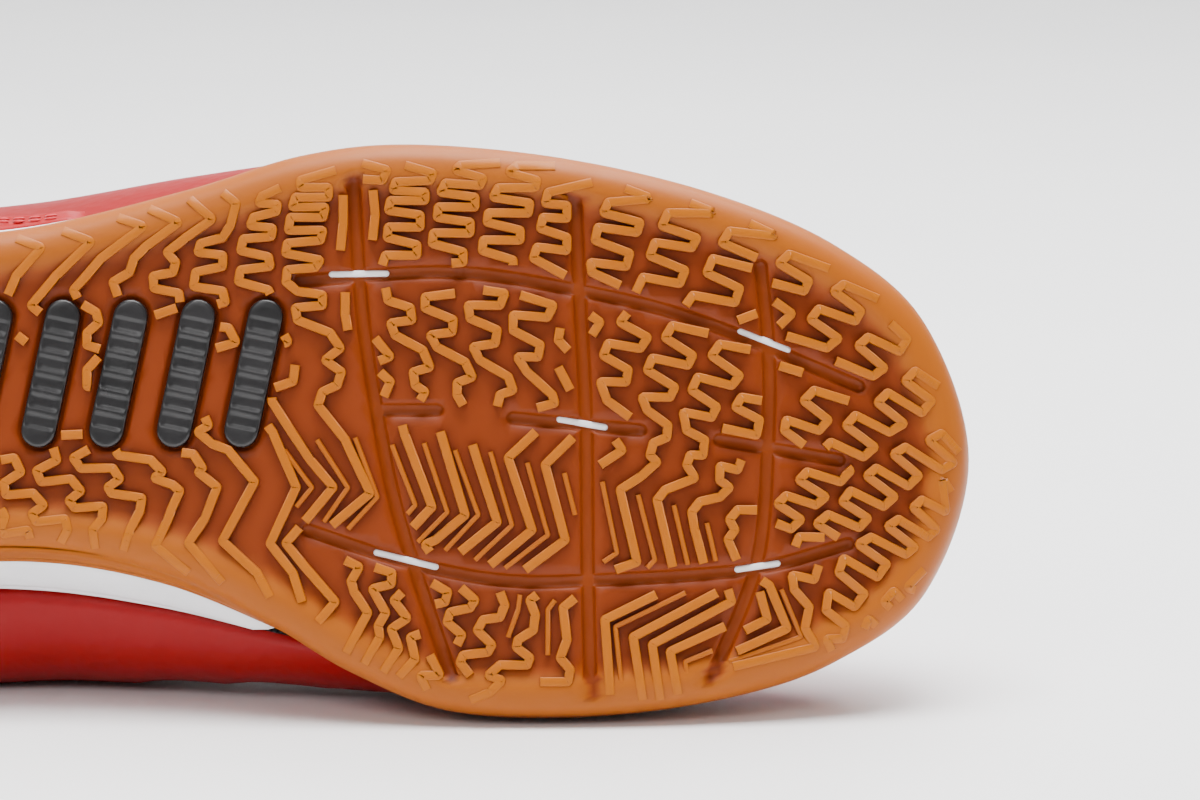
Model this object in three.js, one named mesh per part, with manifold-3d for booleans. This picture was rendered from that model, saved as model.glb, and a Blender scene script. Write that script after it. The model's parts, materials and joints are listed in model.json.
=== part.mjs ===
// An indoor football shoe for the right foot, low cut, resting on its medial side.
// Lengths are millimetres. The shoe is drawn standing: x runs from heel to toe, y towards the
// medial side and z up from the ground, and its group then lays it down on its side.
import * as THREE from "three";
import { ConvexHull } from "three/addons/math/ConvexHull.js";
import { mergeVertices } from "three/addons/utils/BufferGeometryUtils.js";
import Module from "manifold-3d";

const wasm = await Module();
wasm.setup();

// Driving sizes of the whole shoe
const SOLE_LENGTH = 286;
const BALL_WIDTH = 105.5;
const UPPER_HEIGHT = 92; // ground to the top of the eyestay

// Ground line of the sole
const TOE_SPRING = 12;
const SPRING_START = 0.68; // share of the sole length where the toe starts to rise
const HEEL_RISE = 3;
const HEEL_RISE_END = 0.1; // share of the sole length where the heel's rise ends
const ARCH_LIFT = 1.5;
const ARCH_MIDDLE = 0.42;
const ARCH_REACH = 0.14;

// Outsole: a rubber cup with rounded ground edge
const OUTSOLE_FLOOR = 4.2;
const OUTSOLE_WALL = 2.8;
const RIM_HEIGHT = 21; // height of the cup wall at the toe
const GROUND_EDGE = 5; // width of the rounded edge between tread and wall
const EDGE_HEIGHT = 5.5;
const RIM_TUCK = 0.6; // how far the rim leans in from the widest line
const WALL_DRAFT = 1.2; // how far the cup's inner wall leans in towards its floor
const CUP_PLAY = 0.45; // further clearance between the cup's wall and the upper

// Midsole and insole
const SEAT_HEEL = 19; // midsole top above the ground at the heel
const SEAT_BALL = 10.5;
const SEAT_SLOPE_START = 0.2;
const SEAT_SLOPE_END = 0.68;
const MIDSOLE_LIP = 0.5; // how far the midsole stands out under the upper
const INSOLE_THICKNESS = 3.5;

// Upper and what is sewn on it
const UPPER_WALL = 3;
const COLLAR_PADDING = 2.5; // added inside the wall at the top line
const PADDING_START = 0.62; // share of the way up where the padding starts
const OVERLAY_THICKNESS = 1;
const OVERLAY_GAP = 0.45; // between the upper and an overlay, more than FIT_GAP for its curves
const EYESTAY_REACH = 15; // from the throat's edge
const FIT_GAP = 0.3;
const INSOLE_CLEARANCE = 0.7;

// Lacing
const EYELET_PAIRS = 6;
const EYELET_DIAMETER = 3.6;
const EYELET_INSET = 7; // from the throat's edge
const LACE_WIDTH = 6;
const LACE_THICKNESS = 1.2;
const LACE_CLEARANCE = 0.5;
const LACE_OVERLAP = 0.45; // how much higher a stretch lies that crosses over another

// Tongue
const TONGUE_THICKNESS = 2.5;
const TONGUE_PADDING = 3; // added to the thickness towards its top
const TONGUE_LAP = 12; // how far it reaches under the throat's edges
const TONGUE_TOP_LAP = 2.5; // the same beside the top eyelets
const TONGUE_PLAY = 0.9;
const TONGUE_CROWN = 2; // how far its middle stands over its edges
const TONGUE_FREE_LENGTH = 32; // beyond the top eyelets
const TONGUE_SLOPE = THREE.MathUtils.degToRad(42);
const TONGUE_NARROWING = 0.86; // its width above the top eyelets as a share of that beside them
const TONGUE_CELLS = 10; // cells from side to side
// Places around the shoe, in stations, under which the tongue starts and its lapped part ends
const TONGUE_FRONT = 1.2;
const TONGUE_BACK = [8.7, -7.7];

// Tread
const GROOVE_WIDTH = 2.6;
const GROOVE_DEPTH = 2;
const SLOT_WIDTH = 1.1;
const INLAY_COUNT = 5;
const INLAY_LENGTH = 28; // across the shoe
const INLAY_WIDTH = 6.5;
const INLAY_DEPTH = 2.4;
const INLAY_PITCH = 12.5;
const INLAY_FIRST = 0.36; // share of the sole length where the first inlay lies
const INLAY_ACROSS = -0.085; // share of the ball width where the row lies
const INLAY_SLANT = THREE.MathUtils.degToRad(12);

// Mesh fineness
const STEPS_PER_STATION = 3;
const UPPER_RISE = 7;

const DENSITY = { rubber: 1.15e-6, foam: 0.25e-6, upper: 0.9e-6, textile: 0.5e-6 }; // kg per mm3

// Stations around the sole, from the toe's tip along the medial side to the heel and back along
// the lateral side. along is a share of the sole length, across a share of the ball width, medial
// positive, and both follow the outsole's widest line. rim is the cup wall's height as a share of
// RIM_HEIGHT, and feather how far the upper's lower edge stands out from the widest line, as a
// share of the ball width. edge_along, edge_across and edge_up place the opening's edge, up as a
// share of UPPER_HEIGHT. belly and shoulder are the two handles of the upper's profile there.
const COLUMNS = ["along", "across", "rim", "feather", "edge_along", "edge_across", "edge_up",
  "belly_out", "belly_up", "shoulder_out", "shoulder_up"];
const STATIONS = [
  [1.000, 0.066, 1.00, -0.043, 0.699, 0.009, 0.652, 0.038, 0.217, 0.436, -0.043],
  [0.971, 0.301, 0.93, -0.043, 0.696, 0.047, 0.654, 0.043, 0.207, 0.398, -0.054],
  [0.913, 0.420, 0.81, -0.041, 0.687, 0.085, 0.661, 0.047, 0.185, 0.341, -0.065],
  [0.846, 0.482, 0.74, -0.040, 0.671, 0.109, 0.676, 0.050, 0.174, 0.294, -0.076],
  [0.755, 0.516, 0.71, -0.040, 0.643, 0.121, 0.707, 0.045, 0.163, 0.275, -0.087],
  [0.664, 0.508, 0.69, -0.036, 0.605, 0.129, 0.755, 0.070, 0.174, 0.284, -0.098],
  [0.598, 0.440, 0.62, -0.034, 0.566, 0.136, 0.804, 0.190, 0.141, 0.284, -0.120],
  [0.544, 0.354, 0.48, 0.016, 0.528, 0.142, 0.859, 0.260, 0.109, 0.284, -0.141],
  [0.476, 0.268, 0.36, 0.058, 0.483, 0.152, 0.929, 0.315, 0.087, 0.265, -0.163],
  [0.395, 0.227, 0.31, 0.068, 0.434, 0.166, 1.000, 0.330, 0.060, 0.250, -0.280],
  [0.297, 0.242, 0.31, 0.050, 0.371, 0.237, 0.946, 0.355, 0.050, 0.160, -0.340],
  [0.192, 0.289, 0.36, 0.019, 0.266, 0.294, 0.772, 0.340, 0.070, 0.080, -0.300],
  [0.105, 0.308, 0.43, 0.000, 0.147, 0.261, 0.777, 0.200, 0.100, 0.060, -0.280],
  [0.035, 0.237, 0.48, -0.009, 0.049, 0.161, 0.859, 0.052, 0.174, 0.043, -0.239],
  [0.000, -0.009, 0.50, -0.014, 0.016, 0.000, 0.913, 0.038, 0.174, 0.028, -0.261],
  [0.035, -0.256, 0.48, -0.009, 0.049, -0.161, 0.859, 0.047, 0.174, 0.038, -0.239],
  [0.105, -0.327, 0.43, -0.005, 0.147, -0.261, 0.755, 0.057, 0.174, 0.047, -0.207],
  [0.192, -0.332, 0.38, -0.005, 0.266, -0.294, 0.739, 0.066, 0.185, 0.066, -0.196],
  [0.297, -0.327, 0.33, -0.005, 0.371, -0.237, 0.935, 0.114, 0.217, 0.161, -0.217],
  [0.385, -0.341, 0.33, -0.005, 0.434, -0.161, 1.000, 0.142, 0.217, 0.246, -0.196],
  [0.490, -0.408, 0.43, -0.014, 0.493, -0.147, 0.918, 0.123, 0.196, 0.284, -0.152],
  [0.566, -0.469, 0.60, -0.033, 0.545, -0.136, 0.842, 0.095, 0.174, 0.294, -0.130],
  [0.636, -0.488, 0.67, -0.038, 0.594, -0.126, 0.772, 0.076, 0.163, 0.284, -0.109],
  [0.734, -0.464, 0.69, -0.040, 0.643, -0.112, 0.712, 0.066, 0.163, 0.265, -0.087],
  [0.832, -0.403, 0.74, -0.040, 0.671, -0.093, 0.676, 0.057, 0.174, 0.284, -0.076],
  [0.913, -0.311, 0.81, -0.041, 0.687, -0.066, 0.661, 0.047, 0.185, 0.341, -0.065],
  [0.971, -0.175, 0.90, -0.043, 0.696, -0.033, 0.654, 0.043, 0.207, 0.398, -0.054],
];
const STATION_COUNT = STATIONS.length;

// Flex grooves in the tread, each a smooth line through places given as shares of the sole length
// and the ball width
const GROOVES = {
  behind_ball: [[0.599, -0.422], [0.604, -0.212], [0.613, -0.038], [0.629, 0.171], [0.662, 0.442]],
  under_ball: [[0.742, -0.396], [0.745, -0.212], [0.749, -0.004], [0.750, 0.241], [0.752, 0.476]],
  under_toes: [[0.862, -0.274], [0.867, -0.135], [0.867, 0.014], [0.860, 0.241], [0.830, 0.450]],
  lateral: [[0.565, -0.247], [0.662, -0.262], [0.745, -0.230], [0.822, -0.178], [0.926, -0.064]],
  medial: [[0.570, 0.189], [0.629, 0.241], [0.694, 0.276], [0.758, 0.276], [0.855, 0.258], [0.919, 0.214]],
  middle_back: [[0.618, -0.021], [0.653, -0.021]],
  middle: [[0.702, -0.007], [0.784, 0.014]],
  middle_front: [[0.835, 0.031], [0.913, 0.066]],
};
// Slots where two grooves meet, cut right through so that the midsole shows
const SLOTS = [
  { from: [0.585, -0.259], to: [0.620, -0.260] },
  { from: [0.732, -0.005], to: [0.761, 0.009] },
  { from: [0.849, -0.160], to: [0.880, -0.128] },
  { from: [0.614, 0.228], to: [0.652, 0.253] },
  { from: [0.847, 0.258], to: [0.873, 0.248] },
];
const smoothstep = (edge0, edge1, value) => THREE.MathUtils.smoothstep(value, edge0, edge1);
const mix = THREE.MathUtils.lerp;

// A table column at a place around the sole, t in stations, by a closed cubic spline.
function around(name, t) {
  const column = COLUMNS.indexOf(name);
  const whole = Math.floor(t);
  const share = t - whole;
  const at = (i) => STATIONS[(((whole + i) % STATION_COUNT) + STATION_COUNT) % STATION_COUNT][column];
  const [a, b, c, d] = [at(-1), at(0), at(1), at(2)];
  return b + 0.5 * share * (c - a + share * (2 * a - 5 * b + 4 * c - d + share * (3 * (b - c) + d - a)));
}

function groundRise(x) {
  const along = x / SOLE_LENGTH;
  const toe = Math.max(0, (along - SPRING_START) / (1 - SPRING_START));
  const heel = Math.max(0, (HEEL_RISE_END - along) / HEEL_RISE_END);
  const arch = Math.max(0, 1 - ((along - ARCH_MIDDLE) / ARCH_REACH) ** 2);
  return TOE_SPRING * toe ** 2 + HEEL_RISE * heel ** 2 + ARCH_LIFT * arch ** 2;
}

const seatHeight = (x) =>
  mix(SEAT_HEEL, SEAT_BALL, smoothstep(SEAT_SLOPE_START, SEAT_SLOPE_END, x / SOLE_LENGTH));

const widest = (t) => new THREE.Vector2(around("along", t) * SOLE_LENGTH, around("across", t) * BALL_WIDTH);

function outward(t) {
  const step = 0.02;
  const along = widest(t + step).sub(widest(t - step)).normalize();
  return new THREE.Vector2(along.y, -along.x);
}

// A point beside the widest line, out from it and up from the ground under that point.
function besideLine(t, out, up) {
  const place = widest(t).addScaledVector(outward(t), out);
  return new THREE.Vector3(place.x, place.y, groundRise(place.x) + up);
}

const placesAround = Array.from(
  { length: STATION_COUNT * STEPS_PER_STATION },
  (_, i) => i / STEPS_PER_STATION,
);
const ring = (point) => placesAround.map(point);

const rimHeight = (t) => around("rim", t) * RIM_HEIGHT;
const featherOut = (t) => around("feather", t) * BALL_WIDTH;
const seatAt = (t) => seatHeight(besideLine(t, featherOut(t), 0).x);
// The rim leans in under the foot, and out to the midsole where that is the wider of the two.
const rimOut = (t) => Math.max(-RIM_TUCK, featherOut(t) * 0.3);

// The upper's profile at t: lower edge, two handles, opening's edge.
function profile(t) {
  const side = outward(t);
  const away = (from, out, up) =>
    new THREE.Vector3(from.x + side.x * out, from.y + side.y * out, from.z + up);
  const lower = besideLine(t, featherOut(t), 0);
  lower.z += seatHeight(lower.x) + FIT_GAP;
  const edge = new THREE.Vector3(
    around("edge_along", t) * SOLE_LENGTH,
    around("edge_across", t) * BALL_WIDTH,
    around("edge_up", t) * UPPER_HEIGHT,
  );
  const belly = away(lower, around("belly_out", t) * BALL_WIDTH, around("belly_up", t) * UPPER_HEIGHT);
  const [out, up] = [around("shoulder_out", t) * BALL_WIDTH, around("shoulder_up", t) * UPPER_HEIGHT];
  const shoulder = away(edge, out, up);
  return new THREE.CubicBezierCurve3(lower, belly, shoulder, edge);
}

// A point of the upper's outer face moved out by offset along the face's normal. share runs from
// the lower edge at 0 to the opening's edge at 1.
function onUpper(t, share, offset = 0) {
  const point = profile(t).getPoint(share);
  if (!offset) return point;
  const stepAround = 0.05;
  const up = profile(t).getTangent(share);
  const across = profile(t + stepAround).getPoint(share).sub(profile(t - stepAround).getPoint(share));
  return point.addScaledVector(across.cross(up).normalize(), offset);
}

// Where the upper's profile reaches a height above the ground under its lower edge.
function shareAtHeight(t, height) {
  const target = profile(t).v0.z + height - seatAt(t) - FIT_GAP;
  let [low, high] = [0, 0.6];
  for (let i = 0; i < 24; i++) {
    const middle = (low + high) / 2;
    if (onUpper(t, middle).z < target) low = middle;
    else high = middle;
  }
  return low;
}

// The share that lies a given distance from the opening's edge, along the profile.
const shareFromEdge = (t, distance) => 1 - distance / profile(t).getLength();

// Solids

function geometryOf(points, triangles) {
  const geometry = new THREE.BufferGeometry();
  geometry.setAttribute("position", new THREE.Float32BufferAttribute(points.flatMap((p) => p.toArray()), 3));
  geometry.setIndex(triangles);
  return mergeVertices(geometry, 1e-4);
}

function solidFrom(geometry) {
  return new wasm.Manifold(new wasm.Mesh({
    numProp: 3,
    vertProperties: geometry.attributes.position.array,
    triVerts: new Uint32Array(geometry.index.array),
  }));
}

function geometryFrom(solid) {
  const mesh = solid.getMesh();
  const geometry = new THREE.BufferGeometry();
  geometry.setAttribute("position", new THREE.BufferAttribute(mesh.vertProperties, 3));
  geometry.setIndex(new THREE.BufferAttribute(mesh.triVerts, 1));
  return geometry;
}

// Two triangles for each cell between neighbouring rows of points.
function skin(rows, columns, closedRows, closedColumns) {
  const triangles = [];
  const rowEnd = closedRows ? rows : rows - 1;
  const columnEnd = closedColumns ? columns : columns - 1;
  for (let r = 0; r < rowEnd; r++)
    for (let c = 0; c < columnEnd; c++) {
      const [a, b] = [r * columns + c, r * columns + ((c + 1) % columns)];
      const next = ((r + 1) % rows) * columns;
      const [d, e] = [next + c, next + ((c + 1) % columns)];
      triangles.push(a, b, e, a, e, d);
    }
  return triangles;
}

// Triangles across a closed ring from its medial to its lateral side, facing up.
function bridge(points, first) {
  const triangles = [];
  let [medial, lateral] = [0, points.length - 1];
  while (medial + 1 < lateral) {
    if (points[medial + 1].x >= points[lateral - 1].x) {
      triangles.push(first + medial, first + medial + 1, first + lateral);
      medial += 1;
    } else {
      triangles.push(first + medial, first + lateral - 1, first + lateral);
      lateral -= 1;
    }
  }
  return triangles;
}

// A solid with a skin through rings listed from its lowest to its highest face.
function stackOfRings(rings) {
  const columns = rings[0].length;
  const last = (rings.length - 1) * columns;
  const bottom = bridge(rings[0], 0).reverse();
  return solidFrom(geometryOf(rings.flat(), [
    ...skin(rings.length, columns, false, true),
    ...bottom,
    ...bridge(rings.at(-1), last),
  ]));
}

// A hollow solid whose rings go up its outside, over its edge and down its inside.
const loopOfRings = (rings) =>
  solidFrom(geometryOf(rings.flat(), skin(rings.length, rings[0].length, true, true)));

// A plate between two grids of points, outer and inner, each a list of equal rows.
function plate(outer, inner) {
  const [rows, columns] = [outer.length, outer[0].length];
  const count = rows * columns;
  const face = skin(rows, columns, false, false);
  const back = face.map((i) => i + count).reverse();
  const border = [
    ...Array.from({ length: columns - 1 }, (_, c) => c),
    ...Array.from({ length: rows - 1 }, (_, r) => r * columns + columns - 1),
    ...Array.from({ length: columns - 1 }, (_, c) => (rows - 1) * columns + columns - 1 - c),
    ...Array.from({ length: rows - 1 }, (_, r) => (rows - 1 - r) * columns),
  ];
  const sides = border.flatMap((a, i) => {
    const b = border[(i + 1) % border.length];
    return [a, a + count, b + count, a, b + count, b];
  });
  return solidFrom(geometryOf([...outer.flat(), ...inner.flat()], [...face, ...back, ...sides]));
}

// A bar that follows a line on the ground between two heights above it.
function barOnGround(line, width, low, high) {
  const rows = line.map((point, i) => {
    const before = line[Math.max(0, i - 1)];
    const after = line[Math.min(line.length - 1, i + 1)];
    const along = after.clone().sub(before).normalize();
    const corner = (side, up) => new THREE.Vector3(
      point.x - along.y * side * width / 2,
      point.y + along.x * side * width / 2,
      groundRise(point.x) + up,
    );
    return [corner(-1, low), corner(1, low), corner(1, high), corner(-1, high)];
  });
  return barOfRows(rows);
}

// A bar through rows of four corners each.
function barOfRows(rows) {
  const last = (rows.length - 1) * 4;
  return solidFrom(geometryOf(rows.flat(), [
    ...skin(rows.length, 4, false, true),
    0, 2, 1, 0, 3, 2,
    last, last + 1, last + 2, last, last + 2, last + 3,
  ]));
}

const onSole = ([along, across]) => new THREE.Vector2(along * SOLE_LENGTH, across * BALL_WIDTH);

function smoothLine(places, spacing) {
  const curve = new THREE.SplineCurve(places.map(onSole));
  return curve.getSpacedPoints(Math.max(1, Math.round(curve.getLength() / spacing)));
}

// Pieces

// The cup's inner wall under the upper's lower edge, or under its own rim where the rim is low.
const innerWall = (t) => Math.min(rimOut(t) - OUTSOLE_WALL, featherOut(t) + FIT_GAP + CUP_PLAY);

// The cup's inner wall at a share of the way from the seat up to the rim, clear of the upper.
function cupLining(t, share) {
  const above = rimHeight(t) - seatAt(t);
  const low = besideLine(t, innerWall(t), Math.min(seatAt(t), rimHeight(t)) - 0.6);
  const top = besideLine(t, rimOut(t) - OUTSOLE_WALL, rimHeight(t));
  if (above > 0) {
    const beside = onUpper(t, shareAtHeight(t, rimHeight(t)), FIT_GAP + CUP_PLAY);
    top.set(beside.x, beside.y, top.z);
  }
  const point = low.clone().lerp(top, share);
  if (above > 0 && share < 1) {
    const beside = onUpper(t, shareAtHeight(t, seatAt(t) + above * share), FIT_GAP + CUP_PLAY);
    point.set(beside.x, beside.y, groundRise(beside.x) + seatAt(t) + above * share);
  }
  return point;
}

function makeCup() {
  return stackOfRings([
    ring((t) => besideLine(t, -GROUND_EDGE, 0)),
    ring((t) => besideLine(t, -GROUND_EDGE * 0.45, EDGE_HEIGHT * 0.13)),
    ring((t) => besideLine(t, -GROUND_EDGE * 0.1, EDGE_HEIGHT * 0.48)),
    ring((t) => besideLine(t, 0, EDGE_HEIGHT)),
    ring((t) => besideLine(t, rimOut(t), rimHeight(t))),
    ring((t) => cupLining(t, 1)),
    ring((t) => cupLining(t, 0.5)),
    ring((t) => besideLine(t, innerWall(t), Math.min(seatAt(t), rimHeight(t)) - 0.6)),
    ring((t) => besideLine(t, innerWall(t) - WALL_DRAFT, OUTSOLE_FLOOR)),
  ]);
}

// The outline of one inlay, a bar with round ends.
function inlayOutline(index, growth) {
  const shape = new THREE.Shape();
  const radius = INLAY_WIDTH / 2 + growth;
  const reach = (INLAY_LENGTH - INLAY_WIDTH) / 2;
  shape.absarc(0, reach, radius, 0, Math.PI);
  shape.absarc(0, -reach, radius, Math.PI, 2 * Math.PI);
  const origin = new THREE.Vector2();
  const middle = onSole([INLAY_FIRST, INLAY_ACROSS]).add(new THREE.Vector2(index * INLAY_PITCH, 0));
  return shape.getPoints(3).slice(0, -1).map((p) => p.rotateAround(origin, INLAY_SLANT).add(middle));
}

// One inlay as a prism between two heights above the ground.
function inlayPrism(index, growth, low, high) {
  const outline = inlayOutline(index, growth);
  const at = (up) => outline.map((p) => new THREE.Vector3(p.x, p.y, groundRise(p.x) + up));
  const count = outline.length;
  const cap = THREE.ShapeUtils.triangulateShape(outline, []).flat();
  return solidFrom(geometryOf([...at(low), ...at(high)], [
    ...skin(2, count, false, true),
    ...cap.slice().reverse(),
    ...cap.map((i) => i + count),
  ]));
}

const inlays = Array.from({ length: INLAY_COUNT }, (_, i) => i);

function makeOutsole() {
  const cutters = [
    ...Object.values(GROOVES).map((places) =>
      barOnGround(smoothLine(places, 9), GROOVE_WIDTH, -1, GROOVE_DEPTH)),
    ...SLOTS.map(({ from, to }) =>
      barOnGround([onSole(from), onSole(to)], SLOT_WIDTH, -1, OUTSOLE_FLOOR + 1)),
    ...inlays.map((i) => inlayPrism(i, FIT_GAP, -1, INLAY_DEPTH)),
  ];
  return cutters.reduce((solid, cutter) => solid.subtract(cutter), makeCup());
}

// The midsole fills the cup and, where the rim is lower than the seat, spreads out over the rim.
function makeMidsole() {
  const inside = (t) => innerWall(t) - FIT_GAP;
  // How much of the midsole shows over the rim, from 0 hidden to 1.
  const shows = (t) => smoothstep(0.8, 2.6, seatAt(t) - rimHeight(t));
  const neck = (t) => Math.min(seatAt(t), rimHeight(t)) - 1;
  const overRim = (t) => Math.min(rimHeight(t) + FIT_GAP, seatAt(t) - 0.4);
  return stackOfRings([
    ring((t) => besideLine(t, inside(t) - WALL_DRAFT, OUTSOLE_FLOOR + FIT_GAP)),
    ring((t) => besideLine(t, inside(t), neck(t))),
    ring((t) => besideLine(t, inside(t), overRim(t))),
    ring((t) => besideLine(t, mix(inside(t), rimOut(t), shows(t)), overRim(t) + 0.1)),
    ring((t) => besideLine(t, mix(inside(t), featherOut(t) + MIDSOLE_LIP, shows(t)), seatAt(t))),
  ]);
}

function makeInsole() {
  const out = (t) => featherOut(t) - UPPER_WALL - INSOLE_CLEARANCE;
  const low = (t) => seatAt(t) + FIT_GAP;
  return stackOfRings([
    ring((t) => besideLine(t, out(t) - 1, low(t))),
    ring((t) => besideLine(t, out(t), low(t) + 1)),
    ring((t) => besideLine(t, out(t), low(t) + INSOLE_THICKNESS)),
  ]);
}

// How thick the upper's wall is at a share of its rise: padded at the collar, plain at the vamp.
function wallAt(t, share) {
  const collar = 1 - smoothstep(0.28, 0.36, around("along", t));
  return UPPER_WALL + COLLAR_PADDING * collar * smoothstep(PADDING_START, 0.9, share);
}

function makeUpper() {
  const shares = Array.from({ length: UPPER_RISE + 1 }, (_, i) => i / UPPER_RISE);
  const outside = shares.map((share) => ring((t) => onUpper(t, share)));
  const inside = shares.map((share) => ring((t) => onUpper(t, share, -wallAt(t, share)))).reverse();
  const shell = loopOfRings([...outside, ...inside]);
  return eyelets().reduce((solid, eyelet) => solid.subtract(eyelet.punch), shell);
}

// A sewn-on overlay between two places around the shoe, from and to, and two shares of the rise.
function overlay(from, to, lower, higher, cells) {
  const steps = Math.round((to - from) * STEPS_PER_STATION);
  const places = Array.from({ length: steps + 1 }, (_, i) => mix(from, to, i / steps));
  const shares = Array.from({ length: cells + 1 }, (_, i) => i / cells);
  const grid = (offset) => shares.map((share) =>
    places.map((t) => onUpper(t, mix(lower(t), higher(t), share), offset)));
  return plate(grid(OVERLAY_GAP + OVERLAY_THICKNESS), grid(OVERLAY_GAP));
}

// Places around the shoe where each overlay starts and ends, in stations.
const EYESTAY_SPAN = [-8, 9];
const TOE_GUARD_SPAN = [-5, 4 + 2 / 3];
const COUNTER_SPAN = [10 + 2 / 3, 19 + 1 / 3];

function makeEyestay() {
  const solid = overlay(...EYESTAY_SPAN, (t) => shareFromEdge(t, EYESTAY_REACH), () => 0.985, 2);
  return eyelets().reduce((left, eyelet) => left.subtract(eyelet.punch), solid);
}

function makeToeGuard() {
  const [from, to] = TOE_GUARD_SPAN;
  const overRim = (t) => shareAtHeight(t, Math.max(rimHeight(t), seatAt(t)) + 0.8);
  // The guard is tallest at the toe and falls to a low band at its two ends.
  const reach = (t) => mix(0.05, 0.26, Math.cos((Math.PI / 2) * (t < 0 ? t / from : t / to)) ** 0.8);
  return overlay(from, to, overRim, (t) => overRim(t) + reach(t), 3);
}

function makeCounter() {
  const [from, to] = COUNTER_SPAN;
  const middle = 14;
  const foot = (t) => shareAtHeight(t, seatAt(t) + 0.8);
  const reach = (t) => {
    const share = t < middle ? (middle - t) / (middle - from) : (t - middle) / (to - middle);
    return mix(0.6, 0.06, smoothstep(0.15, 1, share));
  };
  return overlay(from, to, foot, (t) => foot(t) + reach(t), 5);
}

// The eyelets: where the lace lies, and the pin that punches the hole.
function eyelets() {
  const spans = { medial: [2.6, 8.7], lateral: [-2.6, -7.7] };
  return Object.entries(spans).flatMap(([side, [front, back]]) =>
    Array.from({ length: EYELET_PAIRS }, (_, i) => {
      const t = mix(front, back, i / (EYELET_PAIRS - 1));
      const share = shareFromEdge(t, EYELET_INSET);
      const top = onUpper(t, share, OVERLAY_GAP + OVERLAY_THICKNESS + 1.5);
      const bottom = onUpper(t, share, -UPPER_WALL - 1.5);
      return { side, index: i, t, share, punch: pin(bottom, top, EYELET_DIAMETER / 2) };
    }));
}

function pin(from, to, radius) {
  const geometry = new THREE.CylinderGeometry(radius, radius, from.distanceTo(to), 6);
  geometry.deleteAttribute("normal").deleteAttribute("uv");
  const axis = to.clone().sub(from).normalize();
  geometry.applyQuaternion(new THREE.Quaternion().setFromUnitVectors(new THREE.Vector3(0, 1, 0), axis));
  const middle = from.clone().lerp(to, 0.5);
  return solidFrom(mergeVertices(geometry.translate(middle.x, middle.y, middle.z), 1e-4));
}

// The tongue's upper face in the throat, u from its front end at 0 to the top eyelets at 1 and v
// from the lateral side at -1 to the medial side at 1. It keeps under the upper's inner face.
function underThroat(u, v) {
  const under = -(UPPER_WALL + TONGUE_PLAY);
  const lap = mix(TONGUE_LAP, TONGUE_TOP_LAP, smoothstep(0.4, 1, u));
  const at = (sign, last) => {
    const t = mix(sign * TONGUE_FRONT, last, u);
    return [onUpper(t, 1, under), onUpper(t, shareFromEdge(t, lap), under)];
  };
  const [medialEdge, medialSide] = at(1, TONGUE_BACK[0]);
  const [lateralEdge, lateralSide] = at(-1, TONGUE_BACK[1]);
  const crown = medialEdge.clone().lerp(lateralEdge, 0.5);
  crown.z += TONGUE_CROWN * smoothstep(0, 0.3, u);
  const line = new THREE.CatmullRomCurve3([lateralSide, lateralEdge, crown, medialEdge, medialSide]);
  return line.getPoint((v + 1) / 2);
}

function makeTongue() {
  const columns = Array.from({ length: TONGUE_CELLS + 1 }, (_, c) => (c / TONGUE_CELLS) * 2 - 1);
  const under = -(UPPER_WALL + TONGUE_PLAY);
  const tip = columns.map((v) => {
    const t = v * TONGUE_FRONT;
    return onUpper(t, shareFromEdge(t, TONGUE_LAP), under);
  });
  const throat = [0, 0.15, 0.3, 0.45, 0.6, 0.75, 0.9, 1].map((u) => columns.map((v) => underThroat(u, v)));
  const root = throat.at(-1);
  const middle = root[TONGUE_CELLS / 2];
  // Above the top eyelets the tongue stands free, narrows to clear the collar and ends round.
  const free = [0.12, 0.4, 0.75, 0.92, 1].map((share) => {
    const rise = share * TONGUE_FREE_LENGTH;
    const narrowed = mix(1, TONGUE_NARROWING, smoothstep(0, 0.12, share));
    const width = narrowed * Math.sqrt(1 - 0.75 * smoothstep(0.7, 1, share) ** 2);
    return root.map((p) => new THREE.Vector3(
      p.x - rise * Math.cos(TONGUE_SLOPE),
      mix(middle.y, p.y, width),
      p.z + rise * Math.sin(TONGUE_SLOPE) + (middle.z - p.z) * 0.3 * share,
    ));
  });
  const outer = [tip, ...throat, ...free];
  const thickness = (r, c) => {
    const side = Math.abs(columns[c]);
    const padded = TONGUE_THICKNESS + TONGUE_PADDING * smoothstep(0.55, 0.85, r / (outer.length - 1));
    return padded * (1 - 0.6 * side ** 4) * (r === outer.length - 1 ? 0.5 : 1);
  };
  const inner = outer.map((row, r) => row.map((point, c) => {
    const before = outer[Math.max(0, r - 1)][c];
    const after = outer[Math.min(outer.length - 1, r + 1)][c];
    const left = row[Math.min(TONGUE_CELLS, c + 1)];
    const right = row[Math.max(0, c - 1)];
    const normal = left.clone().sub(right).cross(after.clone().sub(before)).normalize();
    return point.clone().addScaledVector(normal, -thickness(r, c));
  }));
  return plate(outer, inner);
}

// One stretch of flat lace over the tongue, from a medial to a lateral eyelet. Stretches that
// cross over others lie higher by some of the lace's thickness.
function laceStretch(medial, lateral, over = 0) {
  const lift = OVERLAY_GAP + OVERLAY_THICKNESS + LACE_CLEARANCE + over;
  const seats = [[medial.t, medial.share], [medial.t, 1], [lateral.t, 1], [lateral.t, lateral.share]];
  const points = seats.map(([t, share]) => onUpper(t, share, lift));
  const normals = seats.map(([t, share]) => onUpper(t, share, 1).sub(onUpper(t, share)));
  const along = points[3].clone().sub(points[0]).normalize();
  return barOfRows(points.map((p, i) => {
    const side = normals[i].clone().cross(along).normalize().multiplyScalar(LACE_WIDTH / 2);
    const rise = normals[i].clone().multiplyScalar(LACE_THICKNESS);
    const [left, right] = [p.clone().add(side), p.clone().sub(side)];
    return [right, left, left.clone().add(rise), right.clone().add(rise)];
  }));
}

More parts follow.
